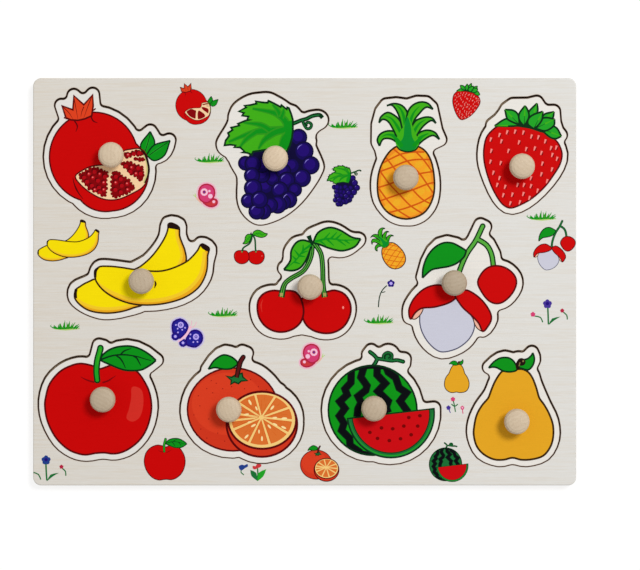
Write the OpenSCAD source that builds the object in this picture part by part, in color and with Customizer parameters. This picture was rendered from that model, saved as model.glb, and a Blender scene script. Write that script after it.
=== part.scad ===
// Peg puzzle: a printed board with eleven fruit cut-outs on a plain backing board, and eleven
// fruit pieces that lift straight out by their turned wooden knobs.
// Millimetres. The board lies flat with the picture side up, its long side along X, and the
// origin is under the middle of the board.

/* [Board] */
// Length of the board along X
board_w = 300; // [250:5:400]
// Depth of the board along Y
board_d = 225; // [190:5:300]
// Thickness of the plain backing board
backing_t = 3; // [2:0.5:5]
// Thickness of the sheet that the face board and the fruit pieces are cut from
sheet_t = 5; // [4:0.5:8]
// Radius of the board's four corners
corner_r = 4.5; // [2:0.5:10]
// Width of the eased outer edges
edge_ease = 0.5; // [0.2:0.1:1]
// Least width of wood between a cut-out and the edge of the board
edge_wall = 2.5; // [2:0.5:4]

/* [Cut-outs] */
// Width of the pale border between a printed figure and the edge of its piece
border_w = 3.5; // [2.5:0.5:4]
// Radius of the inner bends of a piece's edge
bend_r = 2.5; // [1.5:0.5:4]
// Gap all round between a piece and its cut-out
cut_clearance = 0.5; // [0.3:0.1:0.8]
// How far a piece has slid down in its cut-out, as a share of that gap
settle_share = 0.7; // [0:0.1:0.9]

/* [Knobs] */
// Diameter of a knob's head
knob_d = 14; // [12:1:18]
// Height of a knob above its piece
knob_h = 12; // [9:1:18]
// Diameter of the tenon under a knob
tenon_d = 6; // [4:0.5:7]
// Glue gap round a tenon
glue_gap = 0.05; // [0.02:0.01:0.2]
// How far a tenon ends above the underside of its piece
tenon_short = 0.4; // [0.2:0.1:1.5]

/* [Figures] */
// Width of the pomegranate with its leaves, as a share of a cell's side
pomegranate_w_share = 0.877; // [0.82:0.001:0.93]
// Height of the pomegranate, as a share of a cell's side
pomegranate_h_share = 0.86; // [0.8:0.001:0.92]
// Width of the bunch of grapes with its leaf and vine, as a share of a cell's side
grapes_w_share = 0.731; // [0.68:0.001:0.77]
// Height of the bunch of grapes, as a share of a cell's side
grapes_h_share = 0.89; // [0.83:0.001:0.95]
// Width of the pineapple, as a share of a cell's side
pineapple_w_share = 0.468; // [0.43:0.001:0.5]
// Height of the pineapple with its crown, as a share of a cell's side
pineapple_h_share = 0.86; // [0.8:0.001:0.92]
// Width of the strawberry, as a share of a cell's side
strawberry_w_share = 0.57; // [0.53:0.001:0.6]
// Height of the strawberry, as a share of a cell's side
strawberry_h_share = 0.779; // [0.72:0.001:0.83]
// Width of the bunch of bananas, as a share of a cell's side
bananas_w_share = 0.994; // [0.92:0.001:1.05]
// Height of the bunch of bananas, as a share of a cell's side
bananas_h_share = 0.667; // [0.62:0.001:0.71]
// Width of the pair of cherries with their leaves, as a share of a cell's side
cherries_w_share = 0.76; // [0.71:0.001:0.81]
// Height of the pair of cherries, as a share of a cell's side
cherries_h_share = 0.779; // [0.72:0.001:0.83]
// Width of the lychees, as a share of a cell's side
lychee_w_share = 0.796; // [0.74:0.001:0.84]
// Height of the lychees with their stem, as a share of a cell's side
lychee_h_share = 0.949; // [0.88:0.001:1.02]
// Width of the apple, as a share of a cell's side
apple_w_share = 0.826; // [0.77:0.001:0.88]
// Height of the apple with its stem, as a share of a cell's side
apple_h_share = 0.816; // [0.76:0.001:0.87]
// Width of the orange with its slice, as a share of a cell's side
orange_w_share = 0.811; // [0.75:0.001:0.86]
// Height of the orange with its leaf, as a share of a cell's side
orange_h_share = 0.771; // [0.72:0.001:0.83]
// Width of the watermelon with its slice, as a share of a cell's side
watermelon_w_share = 0.782; // [0.73:0.001:0.83]
// Height of the watermelon with its vine, as a share of a cell's side
watermelon_h_share = 0.794; // [0.74:0.001:0.85]
// Width of the pear, as a share of a cell's side
pear_w_share = 0.592; // [0.55:0.001:0.63]
// Height of the pear with its leaves, as a share of a cell's side
pear_h_share = 0.794; // [0.74:0.001:0.85]

/* [Print] */
// Width of a printed stem
stem_w = 2.6; // [2:0.2:4]

/* [Hidden] */
// Straight pieces that stand for the curve between two points of an outline
curve_steps = 3;
// Facets of a full circle in the outlines of the pieces
outline_facets = 30;
// Facets of a full circle on round parts
round_facets = 64;
// Extra length of a cutter, so that it passes right through
overrun = 1;
// Cells side by side along the board's length and its depth
columns = 4;
rows = 3;

// The fruit, in the order of every table below
fruits = [
    "pomegranate", "grapes", "pineapple", "strawberry", "bananas", "cherries",
    "lychee", "apple", "orange", "watermelon", "pear"
];
// Width and height of each figure
figure_shares = [
    [pomegranate_w_share, pomegranate_h_share],
    [grapes_w_share, grapes_h_share],
    [pineapple_w_share, pineapple_h_share],
    [strawberry_w_share, strawberry_h_share],
    [bananas_w_share, bananas_h_share],
    [cherries_w_share, cherries_h_share],
    [lychee_w_share, lychee_h_share],
    [apple_w_share, apple_h_share],
    [orange_w_share, orange_h_share],
    [watermelon_w_share, watermelon_h_share],
    [pear_w_share, pear_h_share]
];
// Main colour of each figure
piece_colors = [
    "crimson", "midnightblue", "orange", "red", "gold", "firebrick",
    "lavender", "red", "orangered", "forestgreen", "goldenrod"
];

// Where each cut-out lies, as shares of the room that it has between the board's edge walls
spot_shares = [
    [0.013, 0.984], [0.423, 0.971], [0.727, 0.954], [0.992, 0.956], [0.078, 0.549], [0.507, 0.507],
    [0.883, 0.478], [0, 0.07], [0.347, 0.065], [0.684, 0.058], [0.974, 0.051]
];
// Where each knob stands, as shares of its figure's width and height
knob_shares = [
    [0.525, 0.476], [0.533, 0.493], [0.453, 0.353], [0.478, 0.391], [0.502, 0.355], [0.524, 0.438],
    [0.417, 0.539], [0.53, 0.51], [0.386, 0.455], [0.433, 0.47], [0.53, 0.369]
];
// Outline of a turned knob from its foot to the middle of its top, as shares of the head's
// radius and of the knob's height
knob_profile_shares = [
    [0.62, 0], [0.58, 0.12], [0.56, 0.26], [0.62, 0.4], [0.82, 0.5], [0.96, 0.58],
    [1, 0.68], [0.97, 0.8], [0.86, 0.91], [0.66, 0.97], [0.34, 1], [0, 1]
];

// The printed figures, in shares of their own width and height from their lower left corner.
// Discs give a centre and two radii. Leaves of four points give base, one side, tip and the
// other side.
pomegranate_disc_shares = [
    [0.367, 0.466, 0.367, 0.384], [0.508, 0.343, 0.325, 0.343], [0.46, 0.235, 0.27, 0.24]
];
pomegranate_crown_shares = [
    [0.096, 0.905], [0.175, 0.88], [0.2, 0.99], [0.283, 0.914], [0.358, 1],
    [0.375, 0.828], [0.25, 0.76], [0.133, 0.793]
];
pomegranate_leaf_shares = [
    [[0.783, 0.5], [0.775, 0.603], [0.842, 0.685], [0.871, 0.586]],
    [[0.817, 0.466], [0.9, 0.552], [1, 0.608], [0.942, 0.483]]
];

grapes_leaf_shares = [
    [0.46, 0.99], [0.38, 0.988], [0.277, 0.973], [0.166, 0.917], [0.124, 0.852], [0.119, 0.808],
    [0.088, 0.746], [0.01, 0.641], [0.003, 0.605], [0.022, 0.578], [0.08, 0.547], [0.14, 0.5],
    [0.4, 0.5], [0.7, 0.66], [0.72, 0.86], [0.65, 0.9], [0.585, 0.938], [0.52, 0.968]
];
grapes_bunch_shares = [
    [0.855, 0.656], [0.875, 0.593], [0.95, 0.452], [0.942, 0.397], [0.873, 0.298], [0.748, 0.166],
    [0.594, 0.064], [0.43, 0.008], [0.335, 0.01], [0.244, 0.08], [0.208, 0.177], [0.21, 0.348],
    [0.152, 0.442], [0.138, 0.5], [0.3, 0.56], [0.58, 0.663]
];
// The wood under the vine and its curl
grapes_vine_shares = [
    [0.7, 0.87], [0.762, 0.833], [0.834, 0.823], [0.886, 0.837], [0.965, 0.844], [0.998, 0.823],
    [0.987, 0.797], [0.934, 0.77], [0.881, 0.72], [0.855, 0.656], [0.7, 0.66]
];

pineapple_body_shares = [
    [0.478, 0], [0.348, 0.008], [0.2, 0.052], [0.047, 0.164], [0.01, 0.31], [0.063, 0.448],
    [0.188, 0.569], [0.469, 0.638], [0.75, 0.569], [0.855, 0.457], [0.9, 0.31], [0.87, 0.155],
    [0.75, 0.052], [0.6, 0.006]
];
pineapple_crown_shares = [
    [0.156, 0.978], [0.313, 0.987], [0.484, 0.974], [0.64, 1], [0.78, 0.997], [0.86, 0.957],
    [0.898, 0.862], [0.938, 0.759], [1, 0.682], [0.894, 0.655], [0.765, 0.61], [0.7, 0.54],
    [0.103, 0.535], [0.073, 0.603], [0.02, 0.66], [0.023, 0.81], [0.078, 0.922]
];

strawberry_body_shares = [
    [0.19, 0.771], [0.513, 0.771], [0.859, 0.676], [1, 0.514], [0.91, 0.324], [0.641, 0.105],
    [0.372, 0.005], [0.192, 0.095], [0.038, 0.343], [0, 0.514], [0.051, 0.686]
];
strawberry_crown_shares = [
    [0.115, 0.786], [0.204, 0.837], [0.262, 0.89], [0.3, 0.938], [0.378, 0.979], [0.577, 0.981],
    [0.686, 1], [0.735, 0.945], [0.805, 0.912], [0.904, 0.914], [0.915, 0.81], [0.95, 0.73],
    [0.994, 0.69], [0.705, 0.657], [0.192, 0.733]
];

// The front banana, the one behind it on the left and the one behind it on the right
bananas_front_shares = [
    [0.176, 0.506], [0.25, 0.519], [0.441, 0.483], [0.603, 0.467], [0.728, 0.5], [0.824, 0.567],
    [0.89, 0.656], [0.934, 0.767], [1, 0.711], [0.982, 0.567], [0.963, 0.4], [0.882, 0.239],
    [0.735, 0.133], [0.529, 0.092], [0.331, 0.144], [0.206, 0.261], [0.151, 0.389]
];
bananas_left_shares = [
    [0.162, 0.378], [0.088, 0.339], [0.007, 0.278], [0, 0.167], [0.066, 0.078], [0.162, 0.017],
    [0.25, 0], [0.382, 0.033], [0.493, 0.111], [0.272, 0.311]
];
bananas_right_shares = [
    [0.441, 0.483], [0.537, 0.578], [0.618, 0.711], [0.669, 0.844], [0.691, 0.994],
    [0.772, 0.978], [0.779, 0.856], [0.816, 0.7], [0.82, 0.567], [0.676, 0.489]
];

cherries_left_shares = [
    [0.002, 0.265], [0.05, 0.36], [0.15, 0.395], [0.24, 0.38], [0.341, 0.395], [0.428, 0.343],
    [0.457, 0.229], [0.428, 0.105], [0.341, 0.029], [0.23, 0.006], [0.103, 0.04], [0.024, 0.13]
];
cherries_right_shares = [
    [0.457, 0.276], [0.514, 0.343], [0.611, 0.375], [0.678, 0.38], [0.764, 0.395],
    [0.85, 0.362], [0.9, 0.28], [0.9, 0.178], [0.85, 0.074], [0.766, 0.014],
    [0.66, 0], [0.553, 0.029], [0.471, 0.1]
];
// The wood that stays between the two cherries' undersides
cherries_web_shares = [[0.34, 0.03], [0.446, 0.048], [0.553, 0.028], [0.446, 0.25]];
// Outlines of the two leaves
cherries_leaf_shares = [
    [
        [0.53, 0.865], [0.408, 0.858], [0.362, 0.821], [0.33, 0.77], [0.325, 0.703], [0.304, 0.642],
        [0.274, 0.61], [0.36, 0.61], [0.457, 0.667], [0.53, 0.77]
    ],
    [
        [0.52, 0.918], [0.609, 0.965], [0.697, 0.991], [0.791, 0.967], [0.885, 0.909],
        [0.948, 0.89], [0.998, 0.885], [0.96, 0.843], [0.869, 0.785], [0.758, 0.781],
        [0.56, 0.85]
    ]
];
cherries_stem_shares = [
    [[0.525, 0.89], [0.543, 0.857], [0.538, 0.752], [0.505, 0.657], [0.447, 0.581],
     [0.35, 0.497], [0.284, 0.435], [0.253, 0.352]],
    [[0.572, 0.857], [0.6, 0.767], [0.613, 0.648], [0.617, 0.505], [0.645, 0.343]]
];

lychee_fruit_shares = [
    [0.431, 0.422], [0.55, 0.32], [0.61, 0.227], [0.578, 0.125], [0.477, 0.043],
    [0.31, 0], [0.18, 0.066], [0.103, 0.185], [0.112, 0.32], [0.266, 0.39]
];
lychee_peel_shares = [
    [[0.431, 0.445], [0.33, 0.52], [0.22, 0.518], [0.11, 0.473], [0.023, 0.375],
     [0.005, 0.305], [0.023, 0.266], [0.1, 0.328], [0.257, 0.348], [0.376, 0.383]],
    [[0.44, 0.445], [0.532, 0.484], [0.642, 0.438], [0.734, 0.348], [0.766, 0.258],
     [0.688, 0.168], [0.624, 0.25], [0.505, 0.344]]
];
lychee_small_shares = [
    [0.688, 0.629], [0.78, 0.668], [0.899, 0.656], [0.986, 0.586], [0.991, 0.5],
    [0.908, 0.406], [0.807, 0.379], [0.706, 0.43], [0.638, 0.531]
];
lychee_leaf_shares = [[[0.537, 0.789], [0.285, 0.838], [0.133, 0.582], [0.33, 0.65]]];
lychee_stem_shares = [
    [[0.688, 0.98], [0.624, 0.867], [0.541, 0.766], [0.477, 0.648]],
    [[0.651, 0.891], [0.725, 0.832], [0.771, 0.758], [0.789, 0.672]]
];
// The wood that stays between the stem, its branch and the small fruit
lychee_web_shares = [[0.63, 0.86], [0.76, 0.68], [0.66, 0.45], [0.45, 0.6]];

apple_body_shares = [
    [0.496, 0.782], [0.407, 0.814], [0.301, 0.827], [0.168, 0.777], [0.053, 0.664],
    [0.003, 0.491], [0.027, 0.309], [0.124, 0.127], [0.248, 0.032], [0.372, 0.003],
    [0.513, 0.023], [0.637, 0.015], [0.779, 0.073], [0.903, 0.227], [0.951, 0.427],
    [0.92, 0.6], [0.832, 0.75], [0.673, 0.827]
];
apple_leaf_shares = [[[0.5, 0.864], [0.735, 0.984], [0.996, 0.855], [0.77, 0.755]]];
apple_stem_shares = [[[0.504, 0.985], [0.478, 0.882], [0.465, 0.764], [0.473, 0.664]]];

orange_body_shares = [
    [0.419, 0.043], [0.171, 0.115], [0.027, 0.298], [0, 0.481], [0.072, 0.673], [0.225, 0.803],
    [0.441, 0.846], [0.56, 0.845], [0.656, 0.81], [0.741, 0.737], [0.805, 0.655], [0.85, 0.59],
    [0.8, 0.3], [0.71, 0.14]
];
orange_slice_shares = [[0.68, 0.308, 0.32, 0.317], [0.7, 0.35, 0.3, 0.3]];
orange_leaf_shares = [[[0.48, 0.87], [0.35, 0.998], [0.185, 0.827], [0.324, 0.8]]];
orange_stem_shares = [[[0.522, 0.99], [0.475, 0.865], [0.447, 0.76]]];

watermelon_disc_shares = [[0.423, 0.446, 0.42, 0.42]];
// Centre of the slice's cut edge and the slice's radius, and the tilt of that edge in degrees
watermelon_slice_shares = [0.584, 0.419, 0.418];
slice_tilt = 6;
watermelon_vine_shares = [
    [[0.397, 0.98], [0.463, 0.93], [0.579, 0.911], [0.72, 0.897]],
    [[0.463, 0.93], [0.439, 0.841]]
];
watermelon_loop_shares = [[0.57, 0.95, 0.047, 0.047]];

pear_body_shares = [
    [0.568, 0.848], [0.42, 0.827], [0.296, 0.752], [0.216, 0.617], [0.099, 0.495],
    [0.019, 0.355], [0.012, 0.215], [0.111, 0.065], [0.321, 0], [0.494, 0.021], [0.667, 0],
    [0.889, 0.051], [0.997, 0.196], [0.985, 0.364], [0.889, 0.519], [0.815, 0.645],
    [0.773, 0.724], [0.742, 0.795], [0.68, 0.84]
];
pear_leaf_shares = [
    [[0.543, 0.869], [0.4, 0.953], [0.204, 0.86], [0.395, 0.832]],
    [[0.58, 0.85], [0.66, 0.935], [0.735, 0.997], [0.742, 0.9]]
];
pear_curl_shares = [[0.57, 0.902, 0.06, 0.044]];

// Height of the floor of the cut-outs
floor_z = backing_t;
// Side of the square cells that the board is laid out in, one for each figure, and each
// figure's size
cell = min(board_w / columns, board_d / rows);
figure_sizes = cell * figure_shares;

// Points of a share table at the real size
function sized(shares, size) = [for (p = shares) [p.x*size.x, p.y*size.y]];

// Point at t on the smooth curve that runs from b to c, between its neighbours a and d
function curve_point(a, b, c, d, t) =
    (2*b + (c - a)*t + (2*a - 5*b + 4*c - d)*t^2 + (3*b - a - 3*c + d)*t^3) / 2;

// Closed smooth curve through the points
function smooth_ring(points) = let (n = len(points)) [
    for (i = [0:n - 1], s = [0:curve_steps - 1])
        curve_point(
            points[(i + n - 1) % n], points[i], points[(i + 1) % n], points[(i + 2) % n],
            s / curve_steps
        )
];

// Bowed line from one point to another that passes through a third halfway, without its end
function bow(from, via, to) = let (pull = 2*via - (from + to)/2, n = 2*curve_steps) [
    for (s = [0:n - 1]) let (t = s/n) (1 - t)^2*from + 2*t*(1 - t)*pull + t^2*to
];

// Unit vector square to the line through the points on either side of point i
function square_to(points, i) =
    let (
        ahead = points[min(i + 1, len(points) - 1)],
        behind = points[max(i - 1, 0)],
        along = (ahead - behind) / norm(ahead - behind)
    ) [-along.y, along.x];

// Band of a given width along a line of points
function band_ring(points, width) = let (n = len(points)) concat(
    [for (i = [0:n - 1]) points[i] + square_to(points, i)*width/2],
    [for (i = [n - 1:-1:0]) points[i] - square_to(points, i)*width/2]
);

module smooth(shares, size) polygon(smooth_ring(sized(shares, size)));

module cornered(shares, size) polygon(sized(shares, size));

module discs(shares, size)
    for (disc = shares)
        polygon([
            for (s = [0:outline_facets - 1]) let (a = 360*s/outline_facets)
                [(disc[0] + disc[2]*cos(a))*size.x, (disc[1] + disc[3]*sin(a))*size.y]
        ]);

module leaves(shares, size)
    for (leaf = shares) let (p = sized(leaf, size))
        polygon(concat(bow(p[0], p[1], p[2]), bow(p[2], p[3], p[0])));

module stems(shares, size)
    for (stem = shares) polygon(band_ring(sized(stem, size), stem_w));

module pomegranate_figure(size) {
    discs(pomegranate_disc_shares, size);
    cornered(pomegranate_crown_shares, size);
    leaves(pomegranate_leaf_shares, size);
}

module grapes_figure(size) {
    smooth(grapes_leaf_shares, size);
    smooth(grapes_bunch_shares, size);
    smooth(grapes_vine_shares, size);
}

module pineapple_figure(size) {
    smooth(pineapple_body_shares, size);
    cornered(pineapple_crown_shares, size);
}

module strawberry_figure(size) {
    smooth(strawberry_body_shares, size);
    cornered(strawberry_crown_shares, size);
}

module bananas_figure(size) {
    smooth(bananas_front_shares, size);
    smooth(bananas_left_shares, size);
    smooth(bananas_right_shares, size);
}

module cherries_figure(size) {
    smooth(cherries_left_shares, size);
    smooth(cherries_right_shares, size);
    cornered(cherries_web_shares, size);
    for (leaf = cherries_leaf_shares) smooth(leaf, size);
    stems(cherries_stem_shares, size);
}

module lychee_figure(size) {
    smooth(lychee_fruit_shares, size);
    for (peel = lychee_peel_shares) smooth(peel, size);
    smooth(lychee_small_shares, size);
    leaves(lychee_leaf_shares, size);
    stems(lychee_stem_shares, size);
    cornered(lychee_web_shares, size);
}

module apple_figure(size) {
    smooth(apple_body_shares, size);
    leaves(apple_leaf_shares, size);
    stems(apple_stem_shares, size);
}

module orange_figure(size) {
    smooth(orange_body_shares, size);
    discs(orange_slice_shares, size);
    leaves(orange_leaf_shares, size);
    stems(orange_stem_shares, size);
}

module watermelon_figure(size) {
    discs(watermelon_disc_shares, size);
    discs(watermelon_loop_shares, size);
    stems(watermelon_vine_shares, size);
    // Half disc of the slice, under its tilted cut edge
    polygon([
        for (s = [0:outline_facets / 2]) let (a = slice_tilt + 180 + 360*s/outline_facets)
            [
                (watermelon_slice_shares[0] + watermelon_slice_shares[2]*cos(a))*size.x,
                (watermelon_slice_shares[1] + watermelon_slice_shares[2]*sin(a))*size.y
            ]
    ]);
}

module pear_figure(size) {
    smooth(pear_body_shares, size);
    leaves(pear_leaf_shares, size);
    discs(pear_curl_shares, size);
}

module figure(k) {
    size = figure_sizes[k];
    if (k == 0) pomegranate_figure(size);
    if (k == 1) grapes_figure(size);
    if (k == 2) pineapple_figure(size);
    if (k == 3) strawberry_figure(size);
    if (k == 4) bananas_figure(size);
    if (k == 5) cherries_figure(size);
    if (k == 6) lychee_figure(size);
    if (k == 7) apple_figure(size);
    if (k == 8) orange_figure(size);
    if (k == 9) watermelon_figure(size);
    if (k == 10) pear_figure(size);
    // Seat of the knob
    translate(knob_spot(k)) circle(d = knob_d, $fn = outline_facets);
}

// Where the knob stands in the figure's own box
function knob_spot(k) = sized([knob_shares[k]], figure_sizes[k])[0];

// Lower left corner of the figure on the board, where its piece lies in the middle of the cut-out
function figure_corner(k) =
    let (
        size = figure_sizes[k],
        least = edge_wall + cut_clearance + border_w,
        room = [board_w, board_d] - size - 2*[least, least]
    ) [-board_w/2 + least + spot_shares[k].x*room.x, -board_d/2 + least + spot_shares[k].y*room.y];

// Edge of a piece: its figure with the printed border round it and softened inner bends
module piece_outline(k)
    offset(r = -bend_r, $fn = outline_facets)
        offset(r = border_w + bend_r, $fn = outline_facets)
            figure(k);

// Section across a board of the given width, with its upper edges eased
function board_section(width, t) = [
    [-width/2, 0], [width/2, 0], [width/2, t - edge_ease],
    [width/2 - edge_ease, t], [edge_ease - width/2, t], [-width/2, t - edge_ease]
];

// Plain board with round corners and eased upper edges
module plain_board(t) {
    rotate([90, 0, 90])
        linear_extrude(board_w - 2*corner_r, center = true) polygon(board_section(board_d, t));
    rotate([90, 0, 0])
        linear_extrude(board_d - 2*corner_r, center = true) polygon(board_section(board_w, t));
    for (x = [-1, 1], y = [-1, 1])
        translate([x*(board_w/2 - corner_r), y*(board_d/2 - corner_r)])
            rotate_extrude($fn = round_facets)
                polygon([
                    [0, 0], [corner_r, 0], [corner_r, t - edge_ease],
                    [corner_r - edge_ease, t], [0, t]
                ]);
}

// Backing board, eased on its underside
module backing_board()
    color("tan")
        translate([0, 0, backing_t]) mirror([0, 0, 1]) plain_board(backing_t);

// Face board with its eleven cut-outs
module face_board()
    color("linen")
        difference() {
            translate([0, 0, floor_z]) plain_board(sheet_t);
            for (k = [0:len(fruits) - 1])
                translate([figure_corner(k).x, figure_corner(k).y, floor_z - overrun])
                    linear_extrude(sheet_t + 2*overrun)
                        offset(delta = cut_clearance) piece_outline(k);
        }

// Everything of piece k in its place, slid down to the lower side of its cut-out
module in_place(k)
    translate([figure_corner(k).x, figure_corner(k).y - settle_share*cut_clearance, floor_z])
        children();

// Fruit piece with the through hole for its knob's tenon
module fruit_piece(k)
    color(piece_colors[k])
        in_place(k) difference() {
            linear_extrude(sheet_t) piece_outline(k);
            translate([knob_spot(k).x, knob_spot(k).y, -overrun])
                cylinder(h = sheet_t + 2*overrun, d = tenon_d + 2*glue_gap, $fn = round_facets);
        }

// Turned knob with its tenon, standing on its piece
module fruit_knob(k)
    color("burlywood")
        in_place(k) translate([knob_spot(k).x, knob_spot(k).y, sheet_t])
            rotate_extrude($fn = round_facets)
                polygon(concat(
                    [
                        [0, tenon_short - sheet_t], [tenon_d/2, tenon_short - sheet_t],
                        [tenon_d/2, 0]
                    ],
                    sized(knob_profile_shares, [knob_d/2, knob_h])
                ));

backing_board();
face_board();
for (k = [0:len(fruits) - 1]) {
    fruit_piece(k);
    fruit_knob(k);
}
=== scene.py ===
"""Looks of the peg puzzle: pale printed plywood with burnt cut edges, eleven fruit pictures with their
small copies on the board, turned knobs with end grain, and a white table under soft studio light.

The pictures are sketched in grid units, about half a millimetre each, from the lower left corner
of their own box. Every sketch is turned into a thin film of ink that lies on the wood.
"""

import math
from typing import Callable, NamedTuple

import bpy
from bpy.props import FloatProperty, FloatVectorProperty, IntProperty, PointerProperty
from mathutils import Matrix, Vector
from mathutils.geometry import delaunay_2d_cdt


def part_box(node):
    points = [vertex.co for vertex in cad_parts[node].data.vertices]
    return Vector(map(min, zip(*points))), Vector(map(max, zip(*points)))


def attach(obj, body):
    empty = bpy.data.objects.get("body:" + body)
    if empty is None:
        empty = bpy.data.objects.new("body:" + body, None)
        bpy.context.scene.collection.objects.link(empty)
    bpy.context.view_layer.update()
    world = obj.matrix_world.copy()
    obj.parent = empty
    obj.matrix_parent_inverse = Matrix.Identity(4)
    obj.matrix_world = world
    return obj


bl_info = {
    "name": "Fruit peg puzzle",
    "version": (1, 0, 0),
    "blender": (4, 5, 0),
    "location": "3D View > Sidebar > Puzzle",
    "description": "Finishes the boards, pictures and knobs of a wooden peg puzzle",
    "category": "Object",
}

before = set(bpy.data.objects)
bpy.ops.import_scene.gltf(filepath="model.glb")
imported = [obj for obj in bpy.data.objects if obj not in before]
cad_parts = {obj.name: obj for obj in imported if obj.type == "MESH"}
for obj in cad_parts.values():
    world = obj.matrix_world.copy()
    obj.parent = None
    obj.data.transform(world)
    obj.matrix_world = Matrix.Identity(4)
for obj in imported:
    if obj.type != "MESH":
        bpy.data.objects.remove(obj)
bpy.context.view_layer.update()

MM = 0.001
MM_PER_METRE = 1000.0
WHITE = (1.0, 1.0, 1.0, 1.0)

PICTURE_WIDTH = 640  # pixels across the rendered picture
SENSOR = 36  # millimetres across the camera's sensor
TABLE_REACH = 3.0  # metres from the middle of the table to its sides
TABLE_GAP = 0.02 * MM  # between the table and the puzzle on it
LAMP_PLACE = (0.95, 0.85, 2.3)  # metres

FACING = 0.35  # how far a surface turns up or down, from 0 to 1, before it is a face and not an edge
FACE_LAYER = 0.85  # millimetres from one layer of the face board's plywood to the next
BACKING_LAYER = 0.5  # the same in the backing board
OUTER_X = 0.1485  # metres from the middle of the board to where its sawn sides begin
OUTER_Y = 0.111  # the same for its upper and lower side
CREASE = 35  # degrees at which an edge of the boards and the pieces stays sharp
KNOB_CREASE = 60  # the same for the knobs

HEART = 0.02  # metres from the middle of a knob to the heart of the tree that it was turned from
HEART_TURN = 2.4  # radians from the side of one knob's heart to that of the next

# Sketches, in grid units
CORE = 3.6  # width of the dark stroke in a leaf of the pineapple's crown
HAIR = 0.05  # half the width of the thinnest stroke
WIDEST_BEND = 1.6  # how many times wider a stroke may get at a bend
SHARPEST_BEND = 0.4  # cosine of half the sharpest bend that a stroke follows with its full width
FACETS = (6, 48)  # fewest and most sides of a disc
STRIDE = 0.7  # shortest step along a cut that its scorched rim follows
SHORTEST = 1e-3  # shortest step of a stroke
WELD = 1e-4  # points of a ring that are closer than this are one
SLIVER = 1e-6  # twice the area below which a ring is left out

UPRIGHT = 0.9  # how far a face turns up, from 0 to 1, to belong to the flat top of a sheet
LEVEL_SLACK = 0.01 * MM  # how far such a face may lie off that top
FOOT_SLACK = 0.3 * MM  # how far the points of a knob's foot may lie off it


# Settings


def paint(name, description, red, green, blue):
    """A colour property, written as the eight-bit levels that a screen shows."""
    return FloatVectorProperty(
        name=name,
        description=description,
        default=(red / 255, green / 255, blue / 255),
        size=3,
        min=0,
        max=1,
        subtype="COLOR_GAMMA",
    )


def length(name, description, millimetres):
    """A length property, written in millimetres."""
    return FloatProperty(name=name, description=description, default=millimetres * MM, unit="LENGTH")


def factor(name, description, default):
    return FloatProperty(name=name, description=description, default=default)


def whole(name, description, default):
    return IntProperty(name=name, description=description, default=default, min=1)


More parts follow.
